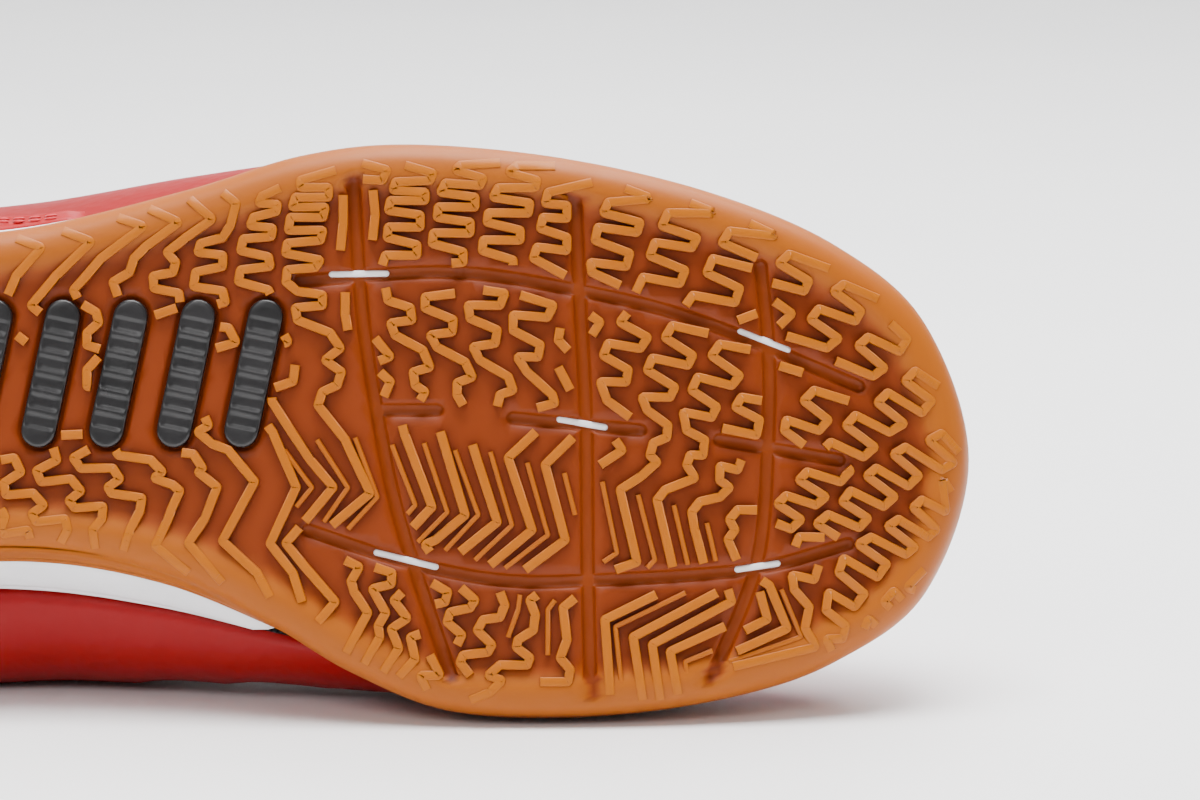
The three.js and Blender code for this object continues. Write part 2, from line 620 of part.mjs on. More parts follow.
function makeLaces() {
  const all = eyelets();
  const at = (side, index) => all.find((eyelet) => eyelet.side === side && eyelet.index === index);
  const stretches = [laceStretch(at("medial", 0), at("lateral", 0))];
  for (let i = 0; i + 1 < EYELET_PAIRS; i++) {
    stretches.push(laceStretch(at("medial", i), at("lateral", i + 1)));
    stretches.push(laceStretch(at("medial", i + 1), at("lateral", i), LACE_OVERLAP));
  }
  return stretches.reduce((solid, stretch) => solid.add(stretch));
}

// Each piece with its material: colour, roughness, metalness.
const GUM = { color: 0xb5651d, roughness: 0.45, metalness: 0 };
const BLACK_RUBBER = { color: 0x1c1c1e, roughness: 0.4, metalness: 0 };
const WHITE_FOAM = { color: 0xe8e6e6, roughness: 0.7, metalness: 0 };
const RED_LEATHER = { color: 0xc4001f, roughness: 0.5, metalness: 0 };
const RED_TEXTILE = { color: 0xb0001c, roughness: 0.9, metalness: 0 };
const GREY_TEXTILE = { color: 0x3a3a3d, roughness: 0.9, metalness: 0 };

const pieces = [
  ["outsole", makeOutsole(), GUM, DENSITY.rubber],
  ...inlays.map((i) => [`tread_inlay_${i + 1}`,
    inlayPrism(i, 0, 0, INLAY_DEPTH - FIT_GAP), BLACK_RUBBER, DENSITY.rubber]),
  ["midsole", makeMidsole(), WHITE_FOAM, DENSITY.foam],
  ["insole", makeInsole(), GREY_TEXTILE, DENSITY.foam],
  ["upper", makeUpper(), RED_LEATHER, DENSITY.upper],
  ["eyestay", makeEyestay(), RED_LEATHER, DENSITY.upper],
  ["toe_guard", makeToeGuard(), RED_LEATHER, DENSITY.upper],
  ["heel_counter", makeCounter(), RED_LEATHER, DENSITY.upper],
  ["tongue", makeTongue(), RED_TEXTILE, DENSITY.textile],
  ["laces", makeLaces(), RED_TEXTILE, DENSITY.textile],
];

const shoe = new THREE.Group();
for (const [name, solid, material] of pieces) {
  const mesh = new THREE.Mesh(geometryFrom(solid), new THREE.MeshStandardMaterial(material));
  mesh.name = name;
  shoe.add(mesh);
}

// Mass and centre of mass of the whole shoe, from the tetrahedra under each mesh's triangles.
function massCentre() {
  let mass = 0;
  const centre = new THREE.Vector3();
  shoe.children.forEach((mesh, piece) => {
    const { position } = mesh.geometry.attributes;
    const index = mesh.geometry.index.array;
    const corner = (i) => new THREE.Vector3().fromBufferAttribute(position, index[i]);
    for (let i = 0; i < index.length; i += 3) {
      const [a, b, c] = [corner(i), corner(i + 1), corner(i + 2)];
      const share = (a.dot(b.clone().cross(c)) / 6) * pieces[piece][3];
      mass += share;
      centre.addScaledVector(a.add(b).add(c), share / 4);
    }
  });
  return centre.divideScalar(mass);
}

// Rolls the shoe over its outer hull, medial side first, until the face under its centre of mass
// stays the same, and gives that face's normal.
function restingFace() {
  const points = shoe.children.flatMap(({ geometry }) => {
    const { position } = geometry.attributes;
    const corner = (_, i) => new THREE.Vector3().fromBufferAttribute(position, i);
    return Array.from({ length: position.count }, corner);
  });
  const { faces } = new ConvexHull().setFromPoints(points);
  const centre = massCentre();
  let down = new THREE.Vector3(0, 1, 0);
  for (let turn = 0; turn < faces.length; turn++) {
    const reach = (face) => (face.constant - face.normal.dot(centre)) / face.normal.dot(down);
    const facing = faces.filter((face) => face.normal.dot(down) > 1e-6);
    const under = facing.reduce((best, face) => (reach(face) < reach(best) ? face : best));
    if (under.normal.distanceTo(down) < 1e-6) break;
    down = under.normal.clone();
  }
  return down;
}

// Lays the shoe on the floor with its toe towards +x and its origin under its box's middle.
function layDown() {
  const up = restingFace().negate();
  const toe = new THREE.Vector3(1, 0, 0).addScaledVector(up, -up.x).normalize();
  const side = up.clone().cross(toe);
  const turn = new THREE.Matrix4().makeBasis(toe, side, up).transpose();
  shoe.quaternion.setFromRotationMatrix(turn);
  shoe.updateMatrixWorld(true);
  const box = new THREE.Box3().setFromObject(shoe, true);
  const middle = box.getCenter(new THREE.Vector3());
  shoe.position.set(-middle.x, -middle.y, -box.min.z);
}

layDown();
const resting = new THREE.Group();
resting.add(shoe);
export default resting;
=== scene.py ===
# %% [markdown]
# # An indoor soccer shoe, lying on its side so that its sole is seen
# The shoe is a right one: a cup of gum rubber with a zigzag tread, a white foam midsole, and a red
# leather upper with its tongue and laces. It rests on its medial side, sole edge and upper both on
# the floor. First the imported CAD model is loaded. It fixes the size and the place of every piece.

# %% Load the frame
import json
import math

import bpy
import numpy as np
from mathutils import Matrix, Vector
from mathutils.geometry import delaunay_2d_cdt


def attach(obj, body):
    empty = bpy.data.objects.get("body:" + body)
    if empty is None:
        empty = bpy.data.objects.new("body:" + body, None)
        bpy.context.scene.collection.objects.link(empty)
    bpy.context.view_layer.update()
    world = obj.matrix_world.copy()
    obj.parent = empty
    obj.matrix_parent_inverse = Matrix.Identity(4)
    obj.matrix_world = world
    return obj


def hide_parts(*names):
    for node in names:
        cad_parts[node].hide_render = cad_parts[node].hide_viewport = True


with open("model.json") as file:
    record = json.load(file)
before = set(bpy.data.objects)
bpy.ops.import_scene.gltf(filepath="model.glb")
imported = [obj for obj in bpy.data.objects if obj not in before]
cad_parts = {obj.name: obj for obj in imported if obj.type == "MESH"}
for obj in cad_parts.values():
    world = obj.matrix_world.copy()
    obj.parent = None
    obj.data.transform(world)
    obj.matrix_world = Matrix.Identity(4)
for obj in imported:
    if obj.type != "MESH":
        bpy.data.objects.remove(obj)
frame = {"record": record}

scene = bpy.context.scene
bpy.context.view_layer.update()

# %% [markdown]
# ## The shoe's own frame
# A shoe is easiest to shape standing: x from heel to toe, y towards the medial side, z up from the
# ground, in millimetres. The CAD model lies down, turned by a roll that its own shape decides. The
# turn could be typed in, but it is read from two mounts instead: the flat spots of the tread under
# heel and forefoot, whose places on the sole are known. So it follows the CAD if that changes.

# %% Find how the shoe lies
HEEL_SPOT = (55, 0)
FOREFOOT_SPOT = (180, -14)
mounts = {mount["name"]: mount for mount in frame["record"]["mounts"]}
heel_place = Vector(mounts["tread_heel"]["pos_m"])
forefoot_place = Vector(mounts["tread_forefoot"]["pos_m"])
shoe_up = -Vector(mounts["tread_heel"]["axis"]).normalized()
between = (FOREFOOT_SPOT[0] - HEEL_SPOT[0], FOREFOOT_SPOT[1] - HEEL_SPOT[1])
turn_back = Matrix.Rotation(math.atan2(-between[1], between[0]), 3, shoe_up)
shoe_x = (turn_back @ (forefoot_place - heel_place)).normalized()
shoe_y = shoe_up.cross(shoe_x).normalized()
shoe_origin = heel_place - shoe_x * HEEL_SPOT[0] * 0.001
AXES = np.array([shoe_x, shoe_y, shoe_up])
ORIGIN = np.array(shoe_origin)


def to_row(points):
    """Points in shoe millimetres as points in row metres."""
    return np.asarray(points, float) * 0.001 @ AXES + ORIGIN


print("shoe x", [round(v, 4) for v in shoe_x], "shoe up", [round(v, 4) for v in shoe_up])

# %% [markdown]
# ## The camera
# The photograph looks almost straight at the sole, from about one degree to the medial side,
# through a long lens. It is cut off behind the arch: a strip 221 mm wide fills the frame. The
# camera is placed in the shoe's own frame, so the angle to the shoe is the photograph's however the
# shoe lies. Placing it by the floor would need a new guess for each way of lying.

# %% Place the camera
FRAME_WIDTH = 0.2208
CAMERA_DISTANCE = 0.9
LOOK_AT = (216.8, -4.05, 0.0)
ABOVE = math.radians(-0.8)  # over the sole's normal, towards the lateral side
back = (-shoe_up * math.cos(ABOVE) - shoe_y * math.sin(ABOVE)).normalized()
right = shoe_x
upward = back.cross(right).normalized()
camera_data = bpy.data.cameras.new("camera")
camera = bpy.data.objects.new("camera", camera_data)
scene.collection.objects.link(camera)
scene.camera = camera
camera_data.sensor_width = 36
camera_data.lens = 36 * CAMERA_DISTANCE / FRAME_WIDTH
target = Vector(to_row(LOOK_AT))
camera_place = target + back * CAMERA_DISTANCE
camera.matrix_world = Matrix((
    (right[0], upward[0], back[0], camera_place[0]),
    (right[1], upward[1], back[1], camera_place[1]),
    (right[2], upward[2], back[2], camera_place[2]),
    (0, 0, 0, 1),
))
print("camera", [round(v, 3) for v in camera_place], "lens", round(camera_data.lens, 1))

# %% [markdown]
# ## The form that every piece shares
# A lasted shoe has one line that rules the rest: the sole's widest line, seen from below. The CAD
# holds it as a table of 27 stations, with the rim's height, the upper's lower edge (the feather
# line), the opening's edge and the two handles of the upper's profile at each. The same table here
# lets each piece be made finer than the CAD and still stand where the CAD stands.

# %% The table of stations
SOLE_LENGTH = 286
BALL_WIDTH = 105.5
UPPER_HEIGHT = 92
COLUMNS = ["along", "across", "rim", "feather", "edge_along", "edge_across", "edge_up",
           "belly_out", "belly_up", "shoulder_out", "shoulder_up"]
STATIONS = np.array([
    [1.000, 0.066, 1.00, -0.043, 0.699, 0.009, 0.652, 0.038, 0.217, 0.436, -0.043],
    [0.971, 0.301, 0.93, -0.043, 0.696, 0.047, 0.654, 0.043, 0.207, 0.398, -0.054],
    [0.913, 0.420, 0.81, -0.041, 0.687, 0.085, 0.661, 0.047, 0.185, 0.341, -0.065],
    [0.846, 0.482, 0.74, -0.040, 0.671, 0.109, 0.676, 0.050, 0.174, 0.294, -0.076],
    [0.755, 0.516, 0.71, -0.040, 0.643, 0.121, 0.707, 0.045, 0.163, 0.275, -0.087],
    [0.664, 0.508, 0.69, -0.036, 0.605, 0.129, 0.755, 0.070, 0.174, 0.284, -0.098],
    [0.598, 0.440, 0.62, -0.034, 0.566, 0.136, 0.804, 0.190, 0.141, 0.284, -0.120],
    [0.544, 0.354, 0.48, 0.016, 0.528, 0.142, 0.859, 0.260, 0.109, 0.284, -0.141],
    [0.476, 0.268, 0.36, 0.058, 0.483, 0.152, 0.929, 0.315, 0.087, 0.265, -0.163],
    [0.395, 0.227, 0.31, 0.068, 0.434, 0.166, 1.000, 0.330, 0.060, 0.250, -0.280],
    [0.297, 0.242, 0.31, 0.050, 0.371, 0.237, 0.946, 0.355, 0.050, 0.160, -0.340],
    [0.192, 0.289, 0.36, 0.019, 0.266, 0.294, 0.772, 0.340, 0.070, 0.080, -0.300],
    [0.105, 0.308, 0.43, 0.000, 0.147, 0.261, 0.777, 0.200, 0.100, 0.060, -0.280],
    [0.035, 0.237, 0.48, -0.009, 0.049, 0.161, 0.859, 0.052, 0.174, 0.043, -0.239],
    [0.000, -0.009, 0.50, -0.014, 0.016, 0.000, 0.913, 0.038, 0.174, 0.028, -0.261],
    [0.035, -0.256, 0.48, -0.009, 0.049, -0.161, 0.859, 0.047, 0.174, 0.038, -0.239],
    [0.105, -0.327, 0.43, -0.005, 0.147, -0.261, 0.755, 0.057, 0.174, 0.047, -0.207],
    [0.192, -0.332, 0.38, -0.005, 0.266, -0.294, 0.739, 0.066, 0.185, 0.066, -0.196],
    [0.297, -0.327, 0.33, -0.005, 0.371, -0.237, 0.935, 0.114, 0.217, 0.161, -0.217],
    [0.385, -0.341, 0.33, -0.005, 0.434, -0.161, 1.000, 0.142, 0.217, 0.246, -0.196],
    [0.490, -0.408, 0.43, -0.014, 0.493, -0.147, 0.918, 0.123, 0.196, 0.284, -0.152],
    [0.566, -0.469, 0.60, -0.033, 0.545, -0.136, 0.842, 0.095, 0.174, 0.294, -0.130],
    [0.636, -0.488, 0.67, -0.038, 0.594, -0.126, 0.772, 0.076, 0.163, 0.284, -0.109],
    [0.734, -0.464, 0.69, -0.040, 0.643, -0.112, 0.712, 0.066, 0.163, 0.265, -0.087],
    [0.832, -0.403, 0.74, -0.040, 0.671, -0.093, 0.676, 0.057, 0.174, 0.284, -0.076],
    [0.913, -0.311, 0.81, -0.041, 0.687, -0.066, 0.661, 0.047, 0.185, 0.341, -0.065],
    [0.971, -0.175, 0.90, -0.043, 0.696, -0.033, 0.654, 0.043, 0.207, 0.398, -0.054],
])
STATION_COUNT = len(STATIONS)


def smoothstep(low, high, value):
    share = np.clip((np.asarray(value, float) - low) / (high - low), 0, 1)
    return share * share * (3 - 2 * share)


def mix(low, high, share):
    return low + (high - low) * share


def spline(a, b, c, d, s):
    """A Catmull-Rom curve at share s of the way from b to c."""
    return 0.5 * (2 * b + (c - a) * s + (2 * a - 5 * b + 4 * c - d) * s * s
                  + (3 * b - a - 3 * c + d) * s ** 3)


def around(name, t):
    """A table column at places t around the sole, in stations, by a closed cubic spline."""
    column = STATIONS[:, COLUMNS.index(name)]
    t = np.asarray(t, float)
    whole = np.floor(t).astype(int)
    share = t - whole
    a, b, c, d = (column[(whole + i) % STATION_COUNT] for i in (-1, 0, 1, 2))
    return b + 0.5 * share * (c - a + share * (2 * a - 5 * b + 4 * c - d + share * (3 * (b - c) + d - a)))


def ground_rise(x):
    along = np.asarray(x, float) / SOLE_LENGTH
    toe = np.maximum(0, (along - 0.68) / 0.32)
    heel = np.maximum(0, (0.1 - along) / 0.1)
    arch = np.maximum(0, 1 - ((along - 0.42) / 0.14) ** 2)
    return 12 * toe ** 2 + 3 * heel ** 2 + 1.5 * arch ** 2


def seat_height(x):
    return mix(19, 10.5, smoothstep(0.2, 0.68, np.asarray(x, float) / SOLE_LENGTH))


def widest(t):
    return np.stack([around("along", t) * SOLE_LENGTH, around("across", t) * BALL_WIDTH], -1)


def outward(t):
    along = widest(np.asarray(t) + 0.02) - widest(np.asarray(t) - 0.02)
    along /= np.linalg.norm(along, axis=-1, keepdims=True)
    return np.stack([along[..., 1], -along[..., 0]], -1)


def beside_line(t, out, up):
    """Points out from the widest line and up from the ground under them."""
    place = widest(t) + outward(t) * np.asarray(out, float)[..., None]
    return np.concatenate([place, (ground_rise(place[..., 0]) + up)[..., None]], -1)


def rim_height(t):
    return around("rim", t) * 21


def feather_out(t):
    return around("feather", t) * BALL_WIDTH


def seat_at(t):
    return seat_height(beside_line(t, feather_out(t), 0)[..., 0])


def rim_out(t):
    return np.maximum(-0.6, feather_out(t) * 0.3)


def profile(t):
    """The four points of the upper's profile curve at t."""
    side = outward(t)
    lower = beside_line(t, feather_out(t), 0)
    lower[..., 2] += seat_height(lower[..., 0]) + 0.3
    edge = np.stack([around("edge_along", t) * SOLE_LENGTH, around("edge_across", t) * BALL_WIDTH,
                     around("edge_up", t) * UPPER_HEIGHT], -1)

    def away(start, out, up):
        flat = start[..., :2] + side * (out * BALL_WIDTH)[..., None]
        return np.concatenate([flat, (start[..., 2] + up * UPPER_HEIGHT)[..., None]], -1)

    belly = away(lower, around("belly_out", t), around("belly_up", t))
    shoulder = away(edge, around("shoulder_out", t), around("shoulder_up", t))
    return lower, belly, shoulder, edge


def curve_point(corners, share):
    a, b, c, d = corners
    s = np.asarray(share, float)[..., None]
    return a * (1 - s) ** 3 + 3 * b * s * (1 - s) ** 2 + 3 * c * s * s * (1 - s) + d * s ** 3


def on_upper(t, share, offset=0.0):
    """Points of the upper's outer face, moved out along its normal by offset."""
    t, share, offset = np.broadcast_arrays(np.asarray(t, float), share, offset)
    corners = profile(t)
    point = curve_point(corners, share)
    a, b, c, d = corners
    s = share[..., None]
    rise = 3 * (b - a) * (1 - s) ** 2 + 6 * (c - b) * s * (1 - s) + 3 * (d - c) * s * s
    sideways = curve_point(profile(t + 0.05), share) - curve_point(profile(t - 0.05), share)
    normal = np.cross(sideways, rise)
    normal /= np.maximum(np.linalg.norm(normal, axis=-1, keepdims=True), 1e-9)
    return point + normal * offset[..., None]


def share_at_height(t, height):
    """Where the upper's profile reaches a height above the ground under its lower edge."""
    corners = profile(t)
    goal = corners[0][..., 2] + height - seat_at(t) - 0.3
    low, high = np.zeros_like(goal), np.full_like(goal, 0.6)
    for _ in range(24):
        middle = (low + high) / 2
        below = curve_point(corners, middle)[..., 2] < goal
        low, high = np.where(below, middle, low), np.where(below, high, middle)
    return low


def share_from_edge(t, distance):
    corners = profile(t)
    walk = [curve_point(corners, np.full(np.shape(t), s)) for s in np.linspace(0, 1, 41)]
    length = sum(np.linalg.norm(b - a, axis=-1) for a, b in zip(walk, walk[1:]))
    return 1 - distance / length


def ring_places(per_station):
    return np.arange(STATION_COUNT * per_station) / per_station


print("sole outline", widest(ring_places(4)).min(0).round(1), widest(ring_places(4)).max(0).round(1))

# %% [markdown]
# ## Materials
# Every finish is made from nodes. Gum rubber is the main one: slightly see-through, so it looks
# light where it is thin and raised and dark red-brown in the hollows. That look is painted into the
# colour. An attribute called depth, painted on the mesh, makes raised parts light (painted light)
# and hollows dark (painted shade). An ambient occlusion node paints more shade into crevices, and a
# little real scattering under the surface is added. Leather, foam, cloth and thread each get their
# own grain by bump.

# %% Material helpers


class Nodes:
    """Adds nodes to a material and links them by socket name."""

    def __init__(self, name):
        self.material = bpy.data.materials.new(name)
        self.material.use_nodes = True
        self.tree = self.material.node_tree
        self.shader = next(n for n in self.tree.nodes if n.type == "BSDF_PRINCIPLED")

    def add(self, kind, **inputs):
        node = self.tree.nodes.new(kind)
        for key, value in inputs.items():
            if key in node.inputs:
                self.give(node.inputs[key], value)
            elif key.replace("_", " ") in node.inputs:
                self.give(node.inputs[key.replace("_", " ")], value)
            else:
                setattr(node, key, value)
        return node

    def give(self, socket, value):
        if isinstance(value, bpy.types.NodeSocket):
            self.tree.links.new(value, socket)
        else:
            socket.default_value = value

    def object_place(self):
        return self.add("ShaderNodeTexCoord").outputs["Object"]

    def noise(self, scale, detail=4.0, roughness=0.55):
        return self.add("ShaderNodeTexNoise", Vector=self.object_place(), Scale=scale, Detail=detail,
                        Roughness=roughness).outputs["Fac"]

    def ramp(self, value, stops):
        node = self.add("ShaderNodeValToRGB", Fac=value)
        while len(node.color_ramp.elements) < len(stops):
            node.color_ramp.elements.new(0.5)
        for element, (place, colour) in zip(node.color_ramp.elements, stops):
            element.position = place
            element.color = colour
        return node.outputs["Color"]

    def blend(self, share, first, second, mode="MIX"):
        node = self.add("ShaderNodeMix")
        node.data_type = "RGBA"
        node.blend_type = mode
        self.give(node.inputs[0], share)
        self.give(node.inputs[6], first)
        self.give(node.inputs[7], second)
        return node.outputs[2]

    def range(self, value, low, high):
        node = self.add("ShaderNodeMapRange", Value=value)
        node.inputs["To Min"].default_value = low
        node.inputs["To Max"].default_value = high
        return node.outputs["Result"]

    def bump(self, height, strength, distance):
        node = self.add("ShaderNodeBump", Height=height, Strength=strength, Distance=distance)
        return node.outputs["Normal"]

    def finish(self, **inputs):
        for key, value in inputs.items():
            self.give(self.shader.inputs[key.replace("_", " ")], value)
        return self.material


def colour(red, green, blue):
    """A colour typed as it looks on screen, turned into the light it stands for."""
    channels = [c / 255 for c in (red, green, blue)]
    return (*(c / 12.92 if c <= 0.04045 else ((c + 0.055) / 1.055) ** 2.4 for c in channels), 1.0)


# %% Gum rubber, black rubber and foam


def make_gum(name, hollow, dark, middle, light, rough):
    n = Nodes(name)
    depth = n.add("ShaderNodeAttribute", attribute_name="depth").outputs["Fac"]
    cloud = n.noise(45, 5)
    # Ambient occlusion darkens the colour in crevices: painted shade.
    crevice_shade = n.add("ShaderNodeAmbientOcclusion", Distance=0.0026, samples=6).outputs["AO"]
    # The depth ramp gives light colours on raised parts as painted light, and dark ones in hollows as
    # painted shade.
    base = n.ramp(depth, [(0.0, light), (0.2, light), (0.38, middle), (0.55, dark), (1.0, hollow)])
    mottled = n.blend(n.range(cloud, 0.0, 0.3), base, dark)
    shaded = n.blend(n.range(crevice_shade, 0.8, 0.0), mottled, colour(88, 24, 0))
    grain = n.bump(n.noise(1400, 3), 0.12, 0.0002)
    roughness = n.range(n.noise(160), rough - 0.08, rough + 0.1)
    n.shader.subsurface_method = "RANDOM_WALK"
    return n.finish(Base_Color=shaded, Roughness=roughness, Normal=grain, Subsurface_Weight=0.1,
                    Subsurface_Radius=(1.0, 0.4, 0.02), Subsurface_Scale=0.002, Specular_IOR_Level=0.2)


gum = make_gum("gum_rubber", colour(128, 52, 0), colour(122, 46, 0), colour(144, 64, 0),
               colour(160, 84, 6), 0.46)
# The ribs get a lighter copy of the same gum: painted light on the raised ribs.
lit_rib_gum = make_gum("gum_ribs_lit", colour(122, 46, 0), colour(136, 58, 0), colour(170, 92, 0),
                   colour(174, 98, 0), 0.42)


def make_black_rubber():
    n = Nodes("black_rubber")
    tone = n.ramp(n.noise(90, 4), [(0.3, colour(14, 13, 14)), (0.75, colour(34, 32, 33))])
    grain = n.bump(n.noise(900, 4), 0.25, 0.0002)
    return n.finish(Base_Color=tone, Roughness=n.range(n.noise(220), 0.22, 0.42), Normal=grain,
                    Coat_Weight=0.12, Coat_Roughness=0.3, Specular_IOR_Level=0.4)


black_rubber = make_black_rubber()


def make_foam():
    n = Nodes("white_foam")
    tone = n.ramp(n.noise(60, 5), [(0.3, colour(232, 232, 234)), (0.7, colour(244, 244, 246))])
    cells = n.add("ShaderNodeTexVoronoi", Vector=n.object_place(), Scale=1500.0).outputs["Distance"]
    return n.finish(Base_Color=tone, Roughness=0.62, Normal=n.bump(cells, 0.15, 0.0002),
                    Specular_IOR_Level=0.3)


white_foam = make_foam()

# %% Leather, cloth, thread and plastic


def make_leather(name, tone, deep, grain_scale=420.0):
    n = Nodes(name)
    pores = n.add("ShaderNodeTexVoronoi", Vector=n.object_place(), Scale=grain_scale).outputs["Distance"]
    cloud = n.noise(30, 6)
    wear = n.noise(240, 5)
    base = n.blend(n.range(cloud, 0.0, 0.55), tone, deep)
    fine = n.add("ShaderNodeMath", operation="ADD")
    n.give(fine.inputs[0], pores)
    n.give(fine.inputs[1], wear)
    grain = n.bump(fine.outputs[0], 0.18, 0.0004)
    return n.finish(Base_Color=base, Roughness=n.range(wear, 0.36, 0.56), Normal=grain,
                    Specular_IOR_Level=0.22)


red_leather = make_leather("red_leather", colour(146, 0, 6), colour(112, 0, 4))
red_overlay = make_leather("red_overlay", colour(166, 0, 12), colour(130, 0, 8), 520.0)


def make_weave(name, warp, weft, scale, rough=0.85):
    """Two crossing bands of waves: a plain weave."""
    n = Nodes(name)
    place = n.object_place()
    bands = []
    for direction in ("X", "Z"):
        node = n.add("ShaderNodeTexWave", Vector=place, Scale=scale, Distortion=0.6, Detail=2.0)
        node.bands_direction = direction
        bands.append(node.outputs["Fac"])
    both = n.add("ShaderNodeMath", operation="MULTIPLY")
    n.give(both.inputs[0], bands[0])
    n.give(both.inputs[1], bands[1])
    tone = n.ramp(both.outputs[0], [(0.1, weft), (0.7, warp)])
    return n.finish(Base_Color=tone, Roughness=rough, Normal=n.bump(both.outputs[0], 0.5, 0.0004),
                    Sheen_Weight=0.25, Sheen_Roughness=0.4)


red_textile = make_weave("red_textile", colour(176, 2, 12), colour(110, 0, 8), 320.0)
lace_weave = make_weave("lace_weave", colour(196, 4, 18), colour(124, 0, 10), 420.0)
grey_textile = make_weave("grey_textile", colour(70, 70, 74), colour(38, 38, 41), 280.0)


def make_thread():
    n = Nodes("red_thread")
    tone = n.ramp(n.noise(700, 2), [(0.3, colour(178, 8, 26)), (0.7, colour(206, 30, 44))])
    return n.finish(Base_Color=tone, Roughness=0.6, Normal=n.bump(n.noise(2500, 2), 0.4, 0.0001),
                    Sheen_Weight=0.2)


thread = make_thread()


def make_edging():
    # Dark for the eyelet rings, and painted shade on the dish that stands in for each hole.
    n = Nodes("dark_eyelet_and_hole_shade")
    tone = n.ramp(n.noise(120, 4), [(0.3, colour(20, 19, 20)), (0.7, colour(44, 42, 44))])
    return n.finish(Base_Color=tone, Roughness=n.range(n.noise(300), 0.35, 0.55),
                    Normal=n.bump(n.noise(1200), 0.2, 0.0001))


dark_eyelet_and_hole_shade = make_edging()
print("materials", len(bpy.data.materials))

# %% [markdown]
# ## Mesh helpers
# Nearly every piece is a skin over rings that run around the shoe. One helper joins rings with
# four-sided faces and another makes the object and places it, so each piece only says where its
# rings are. Pieces sit at the origin, with their place in their points, as the frame asks.

# %% Rings, grids and objects


def add_piece(name, points, faces, materials, face_material=None, nodes=(), depth=None):
    """A named object from points in shoe millimetres. It rides on the shoe and replaces nodes."""
    mesh = bpy.data.meshes.new(name)
    mesh.from_pydata(to_row(points).tolist(), [], [tuple(face) for face in faces])
    for material in materials:
        mesh.materials.append(material)
    mesh.polygons.foreach_set("use_smooth", [True] * len(mesh.polygons))
    if face_material is not None:
        mesh.polygons.foreach_set("material_index", np.asarray(face_material, np.int32))
    if depth is not None:
        layer = mesh.attributes.new("depth", "FLOAT", "POINT")
        layer.data.foreach_set("value", np.asarray(depth, np.float32))
    mesh.validate()
    piece = bpy.data.objects.new(name, mesh)
    scene.collection.objects.link(piece)
    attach(piece, "root")
    if nodes:
        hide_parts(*nodes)
    print(f"{name}: {sum(len(f) - 2 for f in faces)} triangles")
    return piece


def skin(rows, columns, close_rows=False, close_columns=False, start=0):
    """Four-sided faces over rows of points, wound as the CAD's are."""
    faces = []
    for r in range(rows if close_rows else rows - 1):
        for c in range(columns if close_columns else columns - 1):
            a, b = r * columns + c, r * columns + (c + 1) % columns
            d, e = ((r + 1) % rows) * columns + c, ((r + 1) % rows) * columns + (c + 1) % columns
            faces.append((start + a, start + b, start + e, start + d))
    return faces


def turned(faces):
    return [tuple(reversed(face)) for face in faces]


def centre_fan(ring, upward_face):
    """Closes a ring with a strip of four-sided faces across the shoe."""
    count = len(ring)
    faces = []
    low, high = 0, count - 1
    while low + 1 < high:
        quad = (ring[low], ring[low + 1], ring[high - 1], ring[high])
        faces.append(quad if low + 1 != high - 1 else quad[:3])
        low, high = low + 1, high - 1
    return faces if upward_face else turned(faces)


def plate_faces(rows, columns):
    """A closed plate: outer grid, inner grid and the border between them."""
    count = rows * columns
    faces = skin(rows, columns) + turned(skin(rows, columns, start=count))
    border = [c for c in range(columns - 1)]
    border += [r * columns + columns - 1 for r in range(rows - 1)]
    border += [(rows - 1) * columns + columns - 1 - c for c in range(columns - 1)]
    border += [(rows - 1 - r) * columns for r in range(rows - 1)]
    for a, b in zip(border, border[1:] + border[:1]):
        faces.append((a, a + count, b + count, b))
    return faces


# %% [markdown]
# ## The outsole's ground face
# The tread of a gum cup sole is moulded in one piece: a floor, smooth channels where the forefoot
# bends, and ribs between them. Near the border the floor rises, so the ribs run out into a plain
# round edge. The floor is a flat mesh whose inner lines follow the channels, lifted by one height
# rule. Cutting bars out of a block would leave hard corners; a height rule gives soft ones.
# Where two channels cross, narrow slots go right through and the white midsole shows.

# %% Channels, slots and the height of the floor
GROOVES = [
    [[0.599, -0.422], [0.604, -0.212], [0.613, -0.038], [0.629, 0.171], [0.662, 0.442]],
    [[0.742, -0.396], [0.745, -0.212], [0.749, -0.004], [0.750, 0.241], [0.752, 0.476]],
    [[0.862, -0.274], [0.867, -0.135], [0.867, 0.014], [0.860, 0.241], [0.830, 0.450]],
    [[0.565, -0.247], [0.662, -0.262], [0.745, -0.230], [0.822, -0.178], [0.926, -0.064]],
    [[0.570, 0.189], [0.629, 0.241], [0.694, 0.276], [0.758, 0.276], [0.855, 0.258], [0.919, 0.214]],
    [[0.618, -0.021], [0.653, -0.021]],
    [[0.702, -0.007], [0.784, 0.014]],
    [[0.835, 0.031], [0.913, 0.066]],
]
SLOTS = [
    [[0.585, -0.259], [0.620, -0.260]],
    [[0.732, -0.005], [0.761, 0.009]],
    [[0.849, -0.160], [0.880, -0.128]],
    [[0.614, 0.228], [0.652, 0.253]],
    [[0.847, 0.258], [0.873, 0.248]],
]
GROOVE_HALF = 1.3
GROOVE_DEPTH = 2.5
SLOT_HALF = 0.5
RIB_HEIGHT = 1.45
SEAM_INSET = 7.0  # where the floor's mesh meets the round edge
INLAY_HALF = 3.25
INLAY_REACH = 10.75
INLAY_SLANT = math.radians(12)


def on_sole(places):
    return np.array(places, float) * (SOLE_LENGTH, BALL_WIDTH)


